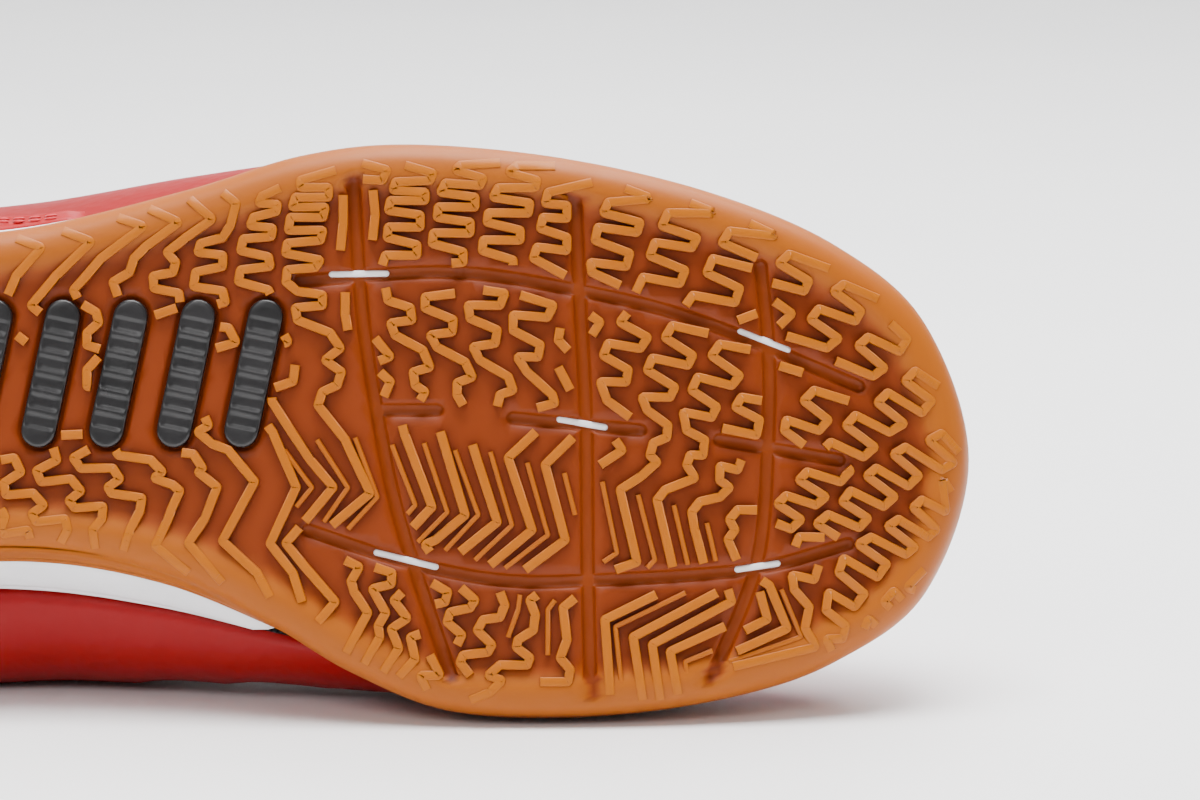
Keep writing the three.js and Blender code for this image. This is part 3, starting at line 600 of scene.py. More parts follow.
def smooth_line(places, spacing):
    """A Catmull-Rom line through places on the sole, sampled evenly."""
    p = on_sole(places)
    if len(p) > 2:
        p = np.vstack([2 * p[0] - p[1], p, 2 * p[-1] - p[-2]])
        dense = []
        for a, b, c, d in zip(p, p[1:], p[2:], p[3:]):
            for s in np.linspace(0, 1, 24, endpoint=False):
                dense.append(spline(a, b, c, d, s))
        p = np.array(dense + [p[-2]])
    walked = np.concatenate([[0], np.cumsum(np.linalg.norm(np.diff(p, axis=0), axis=1))])
    even = np.linspace(0, walked[-1], max(2, int(round(walked[-1] / spacing)) + 1))
    return np.stack([np.interp(even, walked, p[:, i]) for i in (0, 1)], -1)


def distance_to_lines(points, lines):
    """The distance from each point to the nearest of several lines."""
    points = np.asarray(points, float)
    best = np.full(len(points), 1e9)
    for line in lines:
        for a, b in zip(line[:-1], line[1:]):
            along = b - a
            share = np.clip((points - a) @ along / max(along @ along, 1e-9), 0, 1)
            best = np.minimum(best, np.linalg.norm(points - a - share[:, None] * along, axis=1))
    return best


def capsule(line, half, caps=7):
    """The closed outline at a distance around a line."""
    along = np.gradient(line, axis=0)
    along /= np.linalg.norm(along, axis=1, keepdims=True)
    side = np.stack([-along[:, 1], along[:, 0]], -1)
    turn = np.linspace(0, math.pi, caps + 2)[1:-1, None]
    first = line[0] + half * (side[0] * np.cos(turn) - along[0] * np.sin(turn))
    last = line[-1] + half * (-side[-1] * np.cos(turn) + along[-1] * np.sin(turn))
    return np.vstack([line[::-1] + side[::-1] * half, first, line - side * half, last])


def capsule_lid(count, caps, start):
    """Faces that close such an outline, from one side straight across to the other."""
    last = 2 * count + caps - 1
    faces = [(i + 1, i, last - i, last - i - 1) for i in range(count - 1)]
    faces.append(tuple(range(count + caps, count - 2, -1)))
    faces.append((0, *range(last + caps, last - 1, -1)))
    return [tuple(start + corner for corner in face) for face in faces]


inlay_lines = []
for index in range(5):
    middle = on_sole([0.36, -0.085]) + (index * 12.5, 0)
    reach = np.array([-math.sin(INLAY_SLANT), math.cos(INLAY_SLANT)]) * INLAY_REACH
    inlay_lines.append(np.array([middle - reach, middle, middle + reach]))

groove_lines = [smooth_line(places, 2.0) for places in GROOVES]
slot_lines = [on_sole(places) for places in SLOTS]
edge_ring = widest(ring_places(12))
edge_line = np.vstack([edge_ring, edge_ring[:1]])


def floor_height(points, inset):
    """How high the floor lies over the ground plane, from its place and its inset from the edge."""
    floor = mix(0.15, RIB_HEIGHT, smoothstep(5.5, 10.5, inset))
    groove = smoothstep(GROOVE_HALF + 0.15, GROOVE_HALF - 0.5, distance_to_lines(points, groove_lines))
    fade = smoothstep(0.5, 4.5, inset)
    inlay = smoothstep(INLAY_HALF + 0.75, INLAY_HALF + 0.35, distance_to_lines(points, inlay_lines))
    deep = mix(floor, GROOVE_DEPTH, groove * fade)
    return mix(deep, 2.4, inlay)


def inside(points, outline):
    """Which points lie inside a closed outline."""
    hits = np.zeros(len(points), bool)
    x, y = points[:, 0], points[:, 1]
    for (ax, ay), (bx, by) in zip(outline, np.roll(outline, -1, axis=0)):
        crosses = (ay > y) != (by > y)
        with np.errstate(divide="ignore", invalid="ignore"):
            at = ax + (y - ay) * (bx - ax) / (by - ay)
        hits ^= crosses & (x < at)
    return hits


print("channels", len(groove_lines), "slots", len(slot_lines), "inlays", len(inlay_lines))

# %% Mesh the floor and join it to the round edge, the wall and the rim
PER_STATION = 12
places = ring_places(PER_STATION)
seam = beside_line(places, np.full(len(places), -SEAM_INSET), 0)[:, :2]
outlines = [seam]
for line in groove_lines:
    outlines += [capsule(line, GROOVE_HALF + 0.15), capsule(line, GROOVE_HALF - 0.2),
                 capsule(line, GROOVE_HALF - 0.5, 3)]
for line in inlay_lines:
    outlines += [capsule(line, INLAY_HALF + 0.75), capsule(line, INLAY_HALF + 0.35)]
slot_outlines = [capsule(np.linspace(line[0], line[1], 5), SLOT_HALF, 4) for line in slot_lines]
outlines += slot_outlines
kept, loops = [], []
total = 0
for number, outline in enumerate(outlines):
    if number and number < len(outlines) - len(slot_outlines):
        within = inside(outline, seam)
    else:
        within = np.ones(len(outline), bool)
    here = np.cumsum(within) - 1 + total
    for i in range(len(outline)):
        j = (i + 1) % len(outline)
        if within[i] and within[j]:
            loops.append((int(here[i]), int(here[j])))
    kept.append(outline[within])
    total += int(within.sum())
SPACING = 1.9
grid_x, grid_y = np.meshgrid(np.arange(5, 283, SPACING), np.arange(-52, 56, SPACING))
grid_x = grid_x + (np.arange(grid_x.shape[0]) % 2)[:, None] * SPACING / 2
grid = np.stack([grid_x.ravel(), grid_y.ravel()], -1)
grid = grid[inside(grid, seam)]
closed = [np.vstack([outline, outline[:1]]) for outline in outlines]
grid = grid[distance_to_lines(grid, closed) > 0.5]
flat_points = np.vstack(kept + [grid])
flat, _, triangles, _, _, _ = delaunay_2d_cdt([Vector(p) for p in flat_points], loops, [], 0, 1e-4)
flat = np.array([(p[0], p[1]) for p in flat])
triangles = np.array([t for t in triangles if len(t) == 3])
middles = flat[triangles].mean(1)
keep = inside(middles, seam)
for outline in slot_outlines:
    keep &= ~inside(middles, outline)
triangles = triangles[keep]
first, second, third = (flat[triangles[:, i]] for i in range(3))
area = (second - first)[:, 0] * (third - first)[:, 1] - (second - first)[:, 1] * (third - first)[:, 0]
triangles = triangles[np.abs(area) > 1e-5]
area = area[np.abs(area) > 1e-5]
triangles[area > 0] = triangles[area > 0][:, ::-1]  # the ground face looks down

inset = distance_to_lines(flat, [edge_line])
height = floor_height(flat, inset)
points = [np.column_stack([flat, ground_rise(flat[:, 0]) + height])]
faces = [tuple(map(int, t)) for t in triangles]
# The depth attribute makes the floor darker where it lies deeper, darkest in the channels: painted shade.
depths = [np.clip(height / GROOVE_DEPTH, 0, 1) * 0.95]

seam_index = list(range(len(seam)))
ring_insets = [6.0, 5.0, 4.0, 3.0, 2.1, 1.4, 0.8, 0.35, 0.0]
ring_heights = [None, None, 0.32, 0.62, 1.15, 1.8, 2.7, 3.9, 5.5]
# Depth for the edge and rim rings is low on the exposed edge, so it stays light, and higher inside the
# rim: painted light and shade.
rings, ring_depths = [], []
for out, up in zip(ring_insets, ring_heights):
    ring = beside_line(places, np.full(len(places), -out), 0)
    near = floor_height(ring[:, :2], np.full(len(places), out))
    if up is not None:
        near = up + np.maximum(0, near - 0.2) * min(1, out / 5)
    ring[:, 2] += near
    rings.append(ring)
    ring_depths.append(np.clip(near / GROOVE_DEPTH, 0, 0.5) if out > 3 else np.full(len(ring), 0.12))
wall_top = rim_height(places)
for share, out in [(0.25, 0.02), (0.5, 0.05), (0.66, 0.0), (0.7, -0.32), (0.76, -0.32),
                   (0.8, 0.0), (0.93, 0.0), (1.0, -0.35)]:
    rings.append(beside_line(places, rim_out(places) * share + out, mix(5.5, wall_top, share)))
    ring_depths.append(np.full(len(places), 0.15))
for inward, down in [(0.9, -0.05), (1.9, 0.35), (2.6, 1.2), (2.8, 4.0)]:
    rings.append(beside_line(places, rim_out(places) - inward, wall_top - down))
    ring_depths.append(np.full(len(places), 0.4))
start = len(flat)
count = len(places)
points.append(np.vstack(rings))
depths.append(np.concatenate(ring_depths))
faces += skin(len(rings), count, close_columns=True, start=start)
for i in range(count):
    j = (i + 1) % count
    faces.append((seam_index[i], seam_index[j], start + j, start + i))
start += len(rings) * count

for outline in slot_outlines:
    size = len(outline)
    floor_here = floor_height(outline, np.full(size, 20.0))
    top = np.column_stack([outline, ground_rise(outline[:, 0]) + floor_here])
    deep = top.copy()
    deep[:, 2] = ground_rise(outline[:, 0]) + 4.6
    points.append(np.vstack([top, deep]))
    # The slot walls get a high depth, so they are painted dark: painted shade in the slots.
    depths.append(np.full(2 * size, 0.9))
    faces += turned(skin(2, size, close_columns=True, start=start))
    start += 2 * size

add_piece("outsole_rubber", np.vstack(points), faces, [gum], nodes=["outsole"],
          depth=np.concatenate(depths))

# %% [markdown]
# ## The tread ribs
# Each rib is one thin wall of rubber that zigzags across the sole from the lateral to the medial
# side. In the forefoot the teeth are long and lie along the shoe; towards the medial side they
# join into chevrons, with thinner ribs nested between them. At the border they climb with the round
# edge, so a line gets more points there. The centre lines are listed
# in millimetres on the sole. Under the heel, which the photograph cuts off, the rows go on by
# rule. A geometry nodes tree sweeps one rounded profile along every line, as a mould cutter would.

# %% Centre lines of the ribs


def chart(rows):
    """Lines on the sole from text: places are x,y in millimetres, lines end with a semicolon."""
    return [[tuple(map(float, place.split(","))) for place in row.split()] for row in rows.split(";")]


MAIN_RIBS = chart("""
106.4,-35 113.8,-32.2 109.2,-27 106.4,-20.6; 106.4,-18.2 111,-14.7; 115.6,-36.1 123,-33.3 116.5,-27
111.9,-21.5 114.1,-19.7 117.1,-17.8 117.8,-16 116,-14.2 119.3,-12.9; 125.7,-38.5 132.7,-36.1
124.8,-30.2 119.7,-24.3 120.8,-22.1 123.9,-20.2 124.4,-18.4 122.2,-16.4 122.2,-14.2 125.4,-13.2
122.2,-9.6 122.2,-6.6 124.3,-6.3 124.8,-3.5 123.9,-1.8; 133.6,-39.4 139.2,-36.8 133.1,-32.4
130.9,-30.2 130,-27.6 127,-25.8 127.9,-23.2 131.3,-22.4 131.8,-20.8 128.5,-18.6 127.9,-16.9;
140.5,-41.6 145.4,-37.4 140.5,-34 137,-31.3 138.6,-29.4 138.1,-27.6 134.4,-26.9 134.6,-24.7
139.2,-23.7 139.5,-21.3 134.8,-19.7; 147.3,-42.3 149.8,-40.3 148.7,-36.2 147.3,-34 143.2,-32.9
142.7,-31.3 147.3,-30.7 147.3,-28.7 142.3,-27.6 141.9,-25 147.3,-24.1 147.8,-22.1 142.8,-20.8
143,-18.2 148.4,-17.3 149.8,-14.7 145.4,-13.4; 157.9,-43.1 154.6,-41.6 153.9,-40.3 157.4,-40.1
157.2,-38.8 153,-37.7 152.4,-36.2 156.5,-35.7 156.3,-34.2 151.1,-33.7 150.6,-31.6 155.7,-30.4
156.1,-28.7 150.6,-28 150.2,-25.9 155.7,-24.3 156.8,-22.1 151.5,-21.2 151.9,-18.8 157.9,-17.3
159.4,-14.7 154.6,-13.8; 168.1,-46.4 161.6,-44.5 161.6,-43.2 166.8,-43.2 166.8,-41.4 160.7,-41.4
160.1,-39.6 166.2,-39.6 165.8,-37.7 159.8,-37.7 159.4,-35.3 165.8,-35.3 165.3,-33.5 159.2,-32.9
158.9,-31.1 165.3,-29.8 164.4,-28.5 159.2,-28 159,-25.8 161.1,-24.1 165.7,-23.4 165.7,-21.5
160.7,-21 161.1,-18.8 167.1,-16.4 169,-13.6 166.2,-11.4 169.2,-9.2 168.4,-6.8 165.7,-5.5 164.9,-3.1
169.9,3.3 174.5,13.1 167.5,19; 173,-47.7 177.6,-46.4 176.7,-44.5 170.3,-44.9 169.9,-42.7;
169.5,-41.8 169.5,-36.6 169,-31.6; 175,-42.7 175.4,-38.1 174.9,-33.5; 169.9,-23.9 169.9,-19.7
170.4,-16.9; 174.9,-16 178.2,-12 175.4,-11; 176.3,-9.2 178.2,-7.4 176.7,-4; 180.9,-47.3 186.1,-45.8
185.5,-44.5 179.1,-44.2 178.7,-42.7 184.6,-42.3 184.6,-40.8 178.2,-40.8 177.8,-39 183.7,-38.1
183.7,-35.9 177.8,-35.9 177.6,-34 183.1,-32.6 183.1,-30.7 177.3,-30.7 176.7,-28.9; 177.3,-24.7
177.8,-22.4 181.9,-21 182.2,-18.8 178.2,-18.2 179.1,-16 184.2,-13.2 185.5,-10.1 182.4,-9.2
182.8,-6.8 184.6,-5.5 183.7,-4; 198.4,-47.8 191.1,-47.3 190.1,-46.4 195.3,-44.9 194.7,-43.6
188.3,-44 187.4,-42.3 193.8,-41.4 193.8,-39.6 187,-39.6 186.8,-37.7 192.9,-36.8 192.9,-34.8
186.1,-34.8 185.9,-32.9 191.6,-31.3 191.6,-29.4 185.2,-28.9; 190.1,-23.7 184.6,-23 184.6,-21
189.8,-18.8 189.6,-16.6 185.5,-16 186.8,-13.8 192,-11 193.3,-8.3 190.5,-7.2 190.5,-5 191.6,-3.1;
208.5,-47.3 201.5,-47.3 199.9,-46 205.2,-44.5 204.9,-43.2 198,-43.1 197.1,-41.4 203.9,-40.3
203.6,-38.5 196.2,-38.5 196,-36.8 202.1,-35.3 202.1,-33.5 195.3,-33.5 195.1,-31.6 200.8,-29.8
200.8,-28; 195.3,-24.3 199.3,-23.7 198.4,-21.5 192.5,-21.5 192.9,-19.1 197.9,-16.9 197.5,-14.5
193.4,-13.8 194.7,-11.4 199.9,-8.3 200.8,-5.9 198.4,-5 197.9,-2.9; 215.3,-44.2 207.2,-42.3
206.7,-40.3 210.7,-39.9 210.7,-37.5 206.3,-37.7 205.8,-35.7 210.7,-34 210.7,-31.6 205.2,-32.2
204.5,-30.2 210.4,-27; 202.1,-23.4 208.2,-21.5 207.1,-19.3 200.8,-19.7 200.8,-16.9 205.8,-14.2
205.4,-12 201.5,-12 203.4,-9.2 208,-5 208.5,-3.5 205.2,-2.6; 209.5,-17.3 209.1,-15.1 210.9,-13.2;
209.1,-10.1 211.3,-5.9; 215,-19.7 216.8,-18.4 215.3,-16; 221.4,-43.1 226.4,-41.2 218.3,-40.5
217.4,-38.6 224.2,-36.8 223.6,-35 216.4,-35.9 215.9,-33.5 222.3,-31.1 221.6,-28.7 215,-29.4
215.3,-27.6 220.5,-25.2; 221.8,-20.1 220.5,-18.4 225.6,-15.6 224.2,-13.6 218.3,-14.5 217.4,-12.3
222,-9.6 221.6,-7.4 216.8,-7.4 218.1,-4 222.3,-0.9; 219.6,3.3 220.9,5.2 216.8,7.9; 233.4,-40.5
238.3,-38.6 229.3,-38.6 228.2,-36.2 234.7,-34 233.7,-32.2 226.9,-33.1 226,-30.7 232.5,-28
231.5,-25.6 224.7,-26.7 223.4,-23.9; 236.7,-16.4 230.1,-17.8 228.8,-15.6 233.9,-12.3 233,-10.5
226.4,-11.8 225.5,-9.6 230.6,-6.4 229.7,-4.6 224.5,-4.6 225.5,-2.2 229.3,0.6 229.1,2.8 226.6,3.9
226,6.1 227.3,7.4 224.2,10.1 220.5,12.5 223.6,25.8 219.6,27.2; 244.4,-36.8 249.6,-34.4 240.7,-35.3
239.3,-33.1 245.7,-30.4 244.8,-28.5 237.6,-30.2 236.5,-27.6 242.6,-24.7 241.7,-22.1 233.9,-23.4
232.6,-21.5; 245.9,-13.2 238.9,-14.4 237.4,-12.3 242.6,-8.6 241.1,-6.8 234.8,-8.3 233.7,-5.9
238.3,-2.8 237.4,-0.9 232.1,-1.8 232.8,1.5 236.1,3.3 235.8,6.1 233.4,6.1 232.8,7.9 234.3,10.3
228.8,12.5 227.3,14.4 230.2,26.7; 259.1,-28.5 251.8,-31.1 249.9,-29.4 255.5,-26.1 254.5,-24.3
248.6,-25.8; 249,-22.4 252.3,-20.1 249.9,-17.8; 245.7,-20.1 242.2,-18.8; 254.2,-9.2 249.9,-10.5;
246.6,-4 242.9,-4.6 241.8,-2.8 246.3,-0.4 245.7,2.4 239.3,1.1; 242.9,7 242.2,8.8 238.9,8.1
238.9,10.7 240.7,12.1 238.9,13.8 235.2,14.7 233.7,16.6 234.3,19.9 236.1,26.7; 268.3,-23 261.9,-25.6
260.1,-24.3 265.2,-20.6 264.1,-18.8 257.3,-21 255.8,-19.1 261,-15.5 258.8,-13.8 251.2,-16; 262.8,-4
256.4,-5.9 254.5,-4 259.1,-0.4 257.3,1.5 251.2,-0.4 250.9,1.5 254.5,4.2; 270.7,-18.4 273.9,-15.5
272.4,-13.2 266.5,-15.8 264.7,-14.2 269.6,-10.1 267.4,-8.6 260.4,-11.4; 279.7,-6.8 275.3,-9.6
273.5,-7.7 278.5,-4 276.6,-1.8 270.2,-5.5 268.3,-3.7 273.3,0.2 270.5,1.8 264.1,-1.3 262.4,0.6
267.8,4.6 265.6,6.4 259.5,3.7 258,5.2; 283.6,5.5 280.3,2 277.9,3.3 282.7,7.5 280.3,8.8 273.5,4.6
271.3,5.9 276.1,9.9 274,11.8 268,8.5 266.3,9.9 271.5,13.8 269.4,15.6 263.2,12.7 261.7,14.7
266.5,17.8 264.8,19.5 259,17.1 256.9,18.8 261.5,21.7; 282.1,12.9 280.3,10.1 281.2,16.7 276.6,14.4
275,15.8 279.4,19.9 277.7,21.3 272.2,18 270.2,19.3 275.3,23.2 273.5,24.5 267,21.3 264.7,22.6
270,26.3 268.2,28.7 261.9,25.2 261,27.8 265.8,31.8 263.9,34.2 259.1,31.5 258.6,34.8 262.3,37.7
261.7,40.1 258.6,40.1 259.7,42.3; 277,27.4 273.7,30.7 276.1,31.3; 272.9,32.9 271.3,31.3 269.4,33.3
270.7,34.4; 268,37.7 266.5,36.4 265.8,38.3; 262.1,7.7 263.2,9 261.3,11 255.1,9.2 253.6,10.7
258.6,13.8 256.7,15.3 251.2,13.6 249.6,15.1 254,18 252.1,19.7 248.6,18.4; 252.9,23 253.6,21.2
258.2,21.3; 257.3,26.5 256.4,29.1 252.3,28.3 252.7,30.9 255.5,34.2 254.7,38.1 256.7,41.6 241.3,45.1;
245.7,16.2 242.2,16.2 240.7,18 241.7,19.9 240.4,21.7 242,25.4; 227.1,31.8 217.7,36.4 218.7,50.2;
238.3,31.5 222.9,39.6 224.7,51.2; 240.4,30.9 241.1,33.1 226.4,41 227.9,51.2; 239.8,37.7 229.7,42.3
231.2,50.2; 237.4,44.7 236.1,45.6 237.1,49.3; 245.9,28.7 248.1,30.2 251.4,38.1 242,42.3; 246.3,31.3
247.7,36.4 243.5,38.5; 160.7,-10.5 160.3,-7.5 156.3,-6.1 156.5,-3.7 159.8,1.5 163.5,7 167.7,12
163.5,17.1 159,22.3 162.2,26.3 168.1,33.1 164.9,36.8; 150.9,-5.3 151.3,-3.5 154.8,-0.7 156.6,2
160.9,12 156.1,22.4 160.3,27.8 162,33.1; 144,-0.9 144.7,0.6 142.7,1.8 145.4,4 148.4,5.2 153.2,11
147.3,21.9 153.7,27.8 156.1,32.2; 134.6,2.6 137,5.2 141.9,5.9 143.6,8.5 142.8,9.2 146.3,12 144,17.8
141,22.3 147.3,29.6; 125.4,-3.3 123.7,-2.4 124.4,0.7 128.9,1.1 130.5,2.6 127,4.4 128.1,6.1 134,7
136.2,9.2 134.6,10.3 138.1,11.6 139.4,12.7 137.9,16 137,18.4 134.9,22.8 141,27.8; 119.5,-0.4
116.5,0.9 117.5,2.4 122.2,2.2 123.3,4.6 119.7,6.6 121.1,8.5 127,8.5 128.3,10.5 126.1,12 126.8,13.1
132.4,14 132,16.4 130.2,19.9 128.9,23.7; 109.9,2.2 110.8,4.6 115.8,4 116.7,7 112.9,9 113.8,11
119.3,10.5 121.1,12.7 118.9,14.5 120,15.8 125.2,15.5 125,17.8 123.3,19.9 123.7,23.4; 106.4,7
108.8,6.6 110.1,9.2 107,11.2 107.3,13.4 112.3,13.1 114.3,15.3 112.1,16.9 112.9,18.4 118.2,17.8
118.7,19.9 117.3,22.3; 106.4,16 107.2,17.5 106.4,19.9 107,20.6 111.4,19.9 111.8,22.3; 169.9,25.4
172.5,26.7 171,29.3 171.6,31.3 174.1,35.1 170.1,42.5; 175.4,26.7 178.5,27.8 178.4,29.8 174.9,30.7
177.4,35.1 176,37.5 176.3,39.6 173.4,44.5; 180.4,31.3 178.9,32.8 181.3,36.1 178.4,38.1 179.8,41.6
176.9,46; 183.7,39 181.9,39.6 182.8,43.6 179.8,46.9; 185.5,42.9 187.4,46.6 183.7,46.6 185,49.3;
185.9,29.6 188.8,31.3 188.3,33.1 186.5,33.5; 191.2,30.5 193.8,32.8 192.9,34.2 189.2,35 188.7,36.8
191.4,39.2 190.5,41; 198.4,31.3 199.3,33.7 198.4,35.9 195.3,36.4 194.2,38.3 196.9,41 196.2,42.3
191.6,42.9 191.1,44.2 192.9,46.6; 205.2,31.8 203.9,32.8 204.9,35.5 204.5,38.3 201.7,40.1 201.4,41.4
203.9,43.4 203.4,44.7 198.4,44.7 196.2,46.6 198.8,47.5 196.6,49.7 192.9,51.2; 212.2,32.4 210,34.2
210.7,40.1 209.5,43.4 211.3,45.6 210.9,47.8 205.8,47.8; 180.4,0.6 180.9,2.4 185.9,15.6 181.9,19.9;
187.4,1.8 192,17.1 186.5,21.7 184.6,22.6 185.5,23.9; 193.3,4.2 197.9,18.4 191.1,23.9; 205,1.8
199.9,6.6 204.3,19.9 196.6,26.3; 211.8,2.8 206.7,7.9 210.4,21.7 203,27.2
""")

THIN_RIBS = chart("""
158.7,5.2 163.8,12.1 160.9,15.6; 164.7,3.3 170.4,12.1 166,18.4; 171.7,2.9 175.8,13.8 170.4,19.7;
178.5,4.2 182.8,15.3 180.9,17.5; 184.4,3.9 188.7,16.6 182.8,22.6; 190.1,5.2 194.4,17.1 188.3,23.6;
196.6,5.5 200.6,19 193.8,25.4; 203.4,7.5 207.2,20.8 199.3,26.9; 210.2,9.4 212.2,17.1; 217.2,11
219.9,24.1 217.4,25.8; 223.8,13.4 226.9,25.4 225.5,26.9; 230.4,15.3 233,26.3; 236.5,18.6 238.3,26.3;
232.5,31.5 219.6,37.7 221,50.6; 238.9,41.6 232.5,44.2 233.4,50.6; 202.1,31.8 201.7,34.6 199.9,39.6;
208.5,32.8 207.2,34.6 207.2,42.9; 250.3,30.9 254,39.7 240.6,44.2
""")


def heel_rows():
    """Zigzag rows behind the noted ones, each from the lateral to the medial edge."""
    tooth = [(6.3, 0.0), (6.0, 1.5), (0.2, 2.1), (0.0, 3.7)]
    rows = []
    for x in np.arange(8, 106, 9.0):
        t = np.linspace(9.5, 19.0, 400)
        edge = widest(t)
        near = edge[np.abs(edge[:, 0] - x - 3) < 1.2][:, 1]
        if len(near) < 2:
            continue
        low, high = near.min() + 4, near.max() - 4
        if high - low < 12:
            continue
        count = int((high - low) / 4.25)
        shift = (high - low - count * 4.25) / 2
        rows.append([(x + dx, low + shift + i * 4.25 + dy) for i in range(count) for dx, dy in tooth])
    return rows


def clipped(line, clearance):
    """The parts of a line that stay clear of channels, inlays and the edge, sampled finely."""
    line = np.array(line, float)
    runs, run = [], []
    for a, b in zip(line, line[1:]):
        steps = max(1, int(np.linalg.norm(b - a) / 0.7))
        share = np.linspace(0, 1, steps + 1)
        samples = a + share[:, None] * (b - a)
        free = distance_to_lines(samples, groove_lines) > GROOVE_HALF + clearance
        free &= distance_to_lines(samples, inlay_lines) > INLAY_HALF + 0.6 + clearance
        free &= inside(samples, edge_ring) & (distance_to_lines(samples, [edge_line]) > 1.7)
        for k, (sample, ok) in enumerate(zip(samples, free)):
            if not ok:
                if len(run) > 1:
                    runs.append(run)
                run = []
            elif k in (0, len(samples) - 1) or not run:
                run.append(sample)
            else:
                run = run + [sample] if not free[min(k + 1, len(free) - 1)] else run
    if len(run) > 1:
        runs.append(run)
    kept_runs = []
    for run in runs:
        run = np.array(run)
        run = run[np.concatenate([[True], np.linalg.norm(np.diff(run, axis=0), axis=1) > 0.15])]
        if len(run) > 1 and np.linalg.norm(np.diff(run, axis=0), axis=1).sum() > 2.0:
            kept_runs.append(run)
    return kept_runs


def followed(run):
    """More points where a rib climbs the round edge, so that it bends with it."""
    steps = np.linalg.norm(np.diff(run, axis=0), axis=1)
    near = distance_to_lines((run[1:] + run[:-1]) / 2, [edge_line]) - steps / 2 < 5.5
    points = [run[:1]]
    for a, b, step, close in zip(run, run[1:], steps, near):
        points.append(a + np.linspace(0, 1, int(step / 0.8) + 2 if close else 2)[1:, None] * (b - a))
    return np.vstack(points)


main_lines = [followed(run) for line in MAIN_RIBS + heel_rows() for run in clipped(line, 0.25)]
thin_lines = [followed(run) for line in THIN_RIBS for run in clipped(line, 0.3)]
print("ribs", len(main_lines), "thin ribs", len(thin_lines))

# %% Sweep the ribs with geometry nodes


def new_tree(name, sockets):
    tree = bpy.data.node_groups.new(name, "GeometryNodeTree")
    tree.interface.new_socket("Geometry", in_out="INPUT", socket_type="NodeSocketGeometry")
    for label, kind in sockets:
        tree.interface.new_socket(label, in_out="INPUT", socket_type=kind)
    tree.interface.new_socket("Geometry", in_out="OUTPUT", socket_type="NodeSocketGeometry")
    return tree


def put(tree, kind, **settings):
    node = tree.nodes.new(kind)
    for key, value in settings.items():
        setattr(node, key, value)
    return node


def wire(tree, links):
    for source, output, goal, into in links:
        tree.links.new(source.outputs[output], goal.inputs[into])


def sweep_tree():
    """Lines become ribs: rounded corners, one flat profile, then laid on the sole."""
    tree = new_tree("sweep_ribs", [("Width", "NodeSocketFloat"), ("Height", "NodeSocketFloat"),
                                   ("Corner", "NodeSocketFloat"), ("Material", "NodeSocketMaterial")])
    given = put(tree, "NodeGroupInput")
    result = put(tree, "NodeGroupOutput")
    lines = put(tree, "GeometryNodeMeshToCurve")
    fillet = put(tree, "GeometryNodeFilletCurve", mode="POLY")
    fillet.inputs["Count"].default_value = 2
    level = put(tree, "GeometryNodeSetCurveNormal", mode="Z_UP")
    shape = put(tree, "GeometryNodeCurvePrimitiveQuadrilateral")
    soften = put(tree, "GeometryNodeFilletCurve", mode="POLY")
    soften.inputs["Count"].default_value = 2
    soften.inputs["Radius"].default_value = 0.00022
    sweep = put(tree, "GeometryNodeCurveToMesh")
    sweep.inputs["Fill Caps"].default_value = True
    weld = put(tree, "GeometryNodeMergeByDistance")
    weld.inputs["Distance"].default_value = 0.00002
    realize = put(tree, "GeometryNodeRealizeInstances")
    paint = put(tree, "GeometryNodeSetMaterial")
    wire(tree, [
        (given, "Geometry", lines, "Mesh"), (lines, "Curve", fillet, "Curve"),
        (given, "Corner", fillet, "Radius"), (fillet, "Curve", level, "Curve"),
        (given, "Width", shape, "Width"), (given, "Height", shape, "Height"),
        (shape, "Curve", soften, "Curve"), (level, "Curve", sweep, "Curve"),
        (soften, "Curve", sweep, "Profile Curve"), (sweep, "Mesh", weld, "Geometry"),
        (weld, "Geometry", realize, "Geometry"), (realize, "Geometry", paint, "Geometry"),
        (given, "Material", paint, "Material"), (paint, "Geometry", result, "Geometry")])
    return tree


print("helpers for node trees ready")

# %% Run the tree on both kinds of rib


def grown(tree, name, mesh, values):
    """A tree applied to a mesh: its result as a new mesh, with the modifier gone."""
    holder = bpy.data.objects.new(name + "_lines", mesh)
    scene.collection.objects.link(holder)
    modifier = holder.modifiers.new("grow", "NODES")
    modifier.node_group = tree
    labels = {item.name: item.identifier for item in tree.interface.items_tree if item.in_out == "INPUT"}
    for label, value in values.items():
        modifier[labels[label]] = value
    bpy.context.view_layer.update()
    evaluated = holder.evaluated_get(bpy.context.evaluated_depsgraph_get())
    result = bpy.data.meshes.new_from_object(evaluated)
    bpy.data.objects.remove(holder)
    result.name = name
    return result


def grown_piece(name, mesh, material, nodes=()):
    mesh.materials.clear()
    mesh.materials.append(material)
    mesh.polygons.foreach_set("material_index", np.zeros(len(mesh.polygons), np.int32))
    piece = bpy.data.objects.new(name, mesh)
    scene.collection.objects.link(piece)
    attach(piece, "root")
    if nodes:
        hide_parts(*nodes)
    print(f"{name}: {sum(len(p.vertices) - 2 for p in mesh.polygons)} triangles")
    return piece


def rib_lines(name, lines, up):
    """Lines on the sole as a mesh of loose edges, in metres, at a height over the ground plane."""
    points, edges = [], []
    for line in lines:
        first = len(points)
        for x, y in line:
            points.append((x * 0.001, y * 0.001, (float(ground_rise(x)) + up) * 0.001))
        edges += [(first + i, first + i + 1) for i in range(len(line) - 1)]
    mesh = bpy.data.meshes.new(name)
    mesh.from_pydata(points, edges, [])
    return mesh


def paint_depth(mesh, place):
    """The depth attribute of the ribs: how far they go into the sole, from places in its frame.
    It makes their tops light (painted light) and their walls darker towards the base (painted shade).
    """
    up = place[:, 2] * 1000 - ground_rise(place[:, 0] * 1000)
    layer = mesh.attributes.new("depth", "FLOAT", "POINT")
    layer.data.foreach_set("value", np.clip(0.32 + up / 2.4, 0, 1).astype(np.float32))


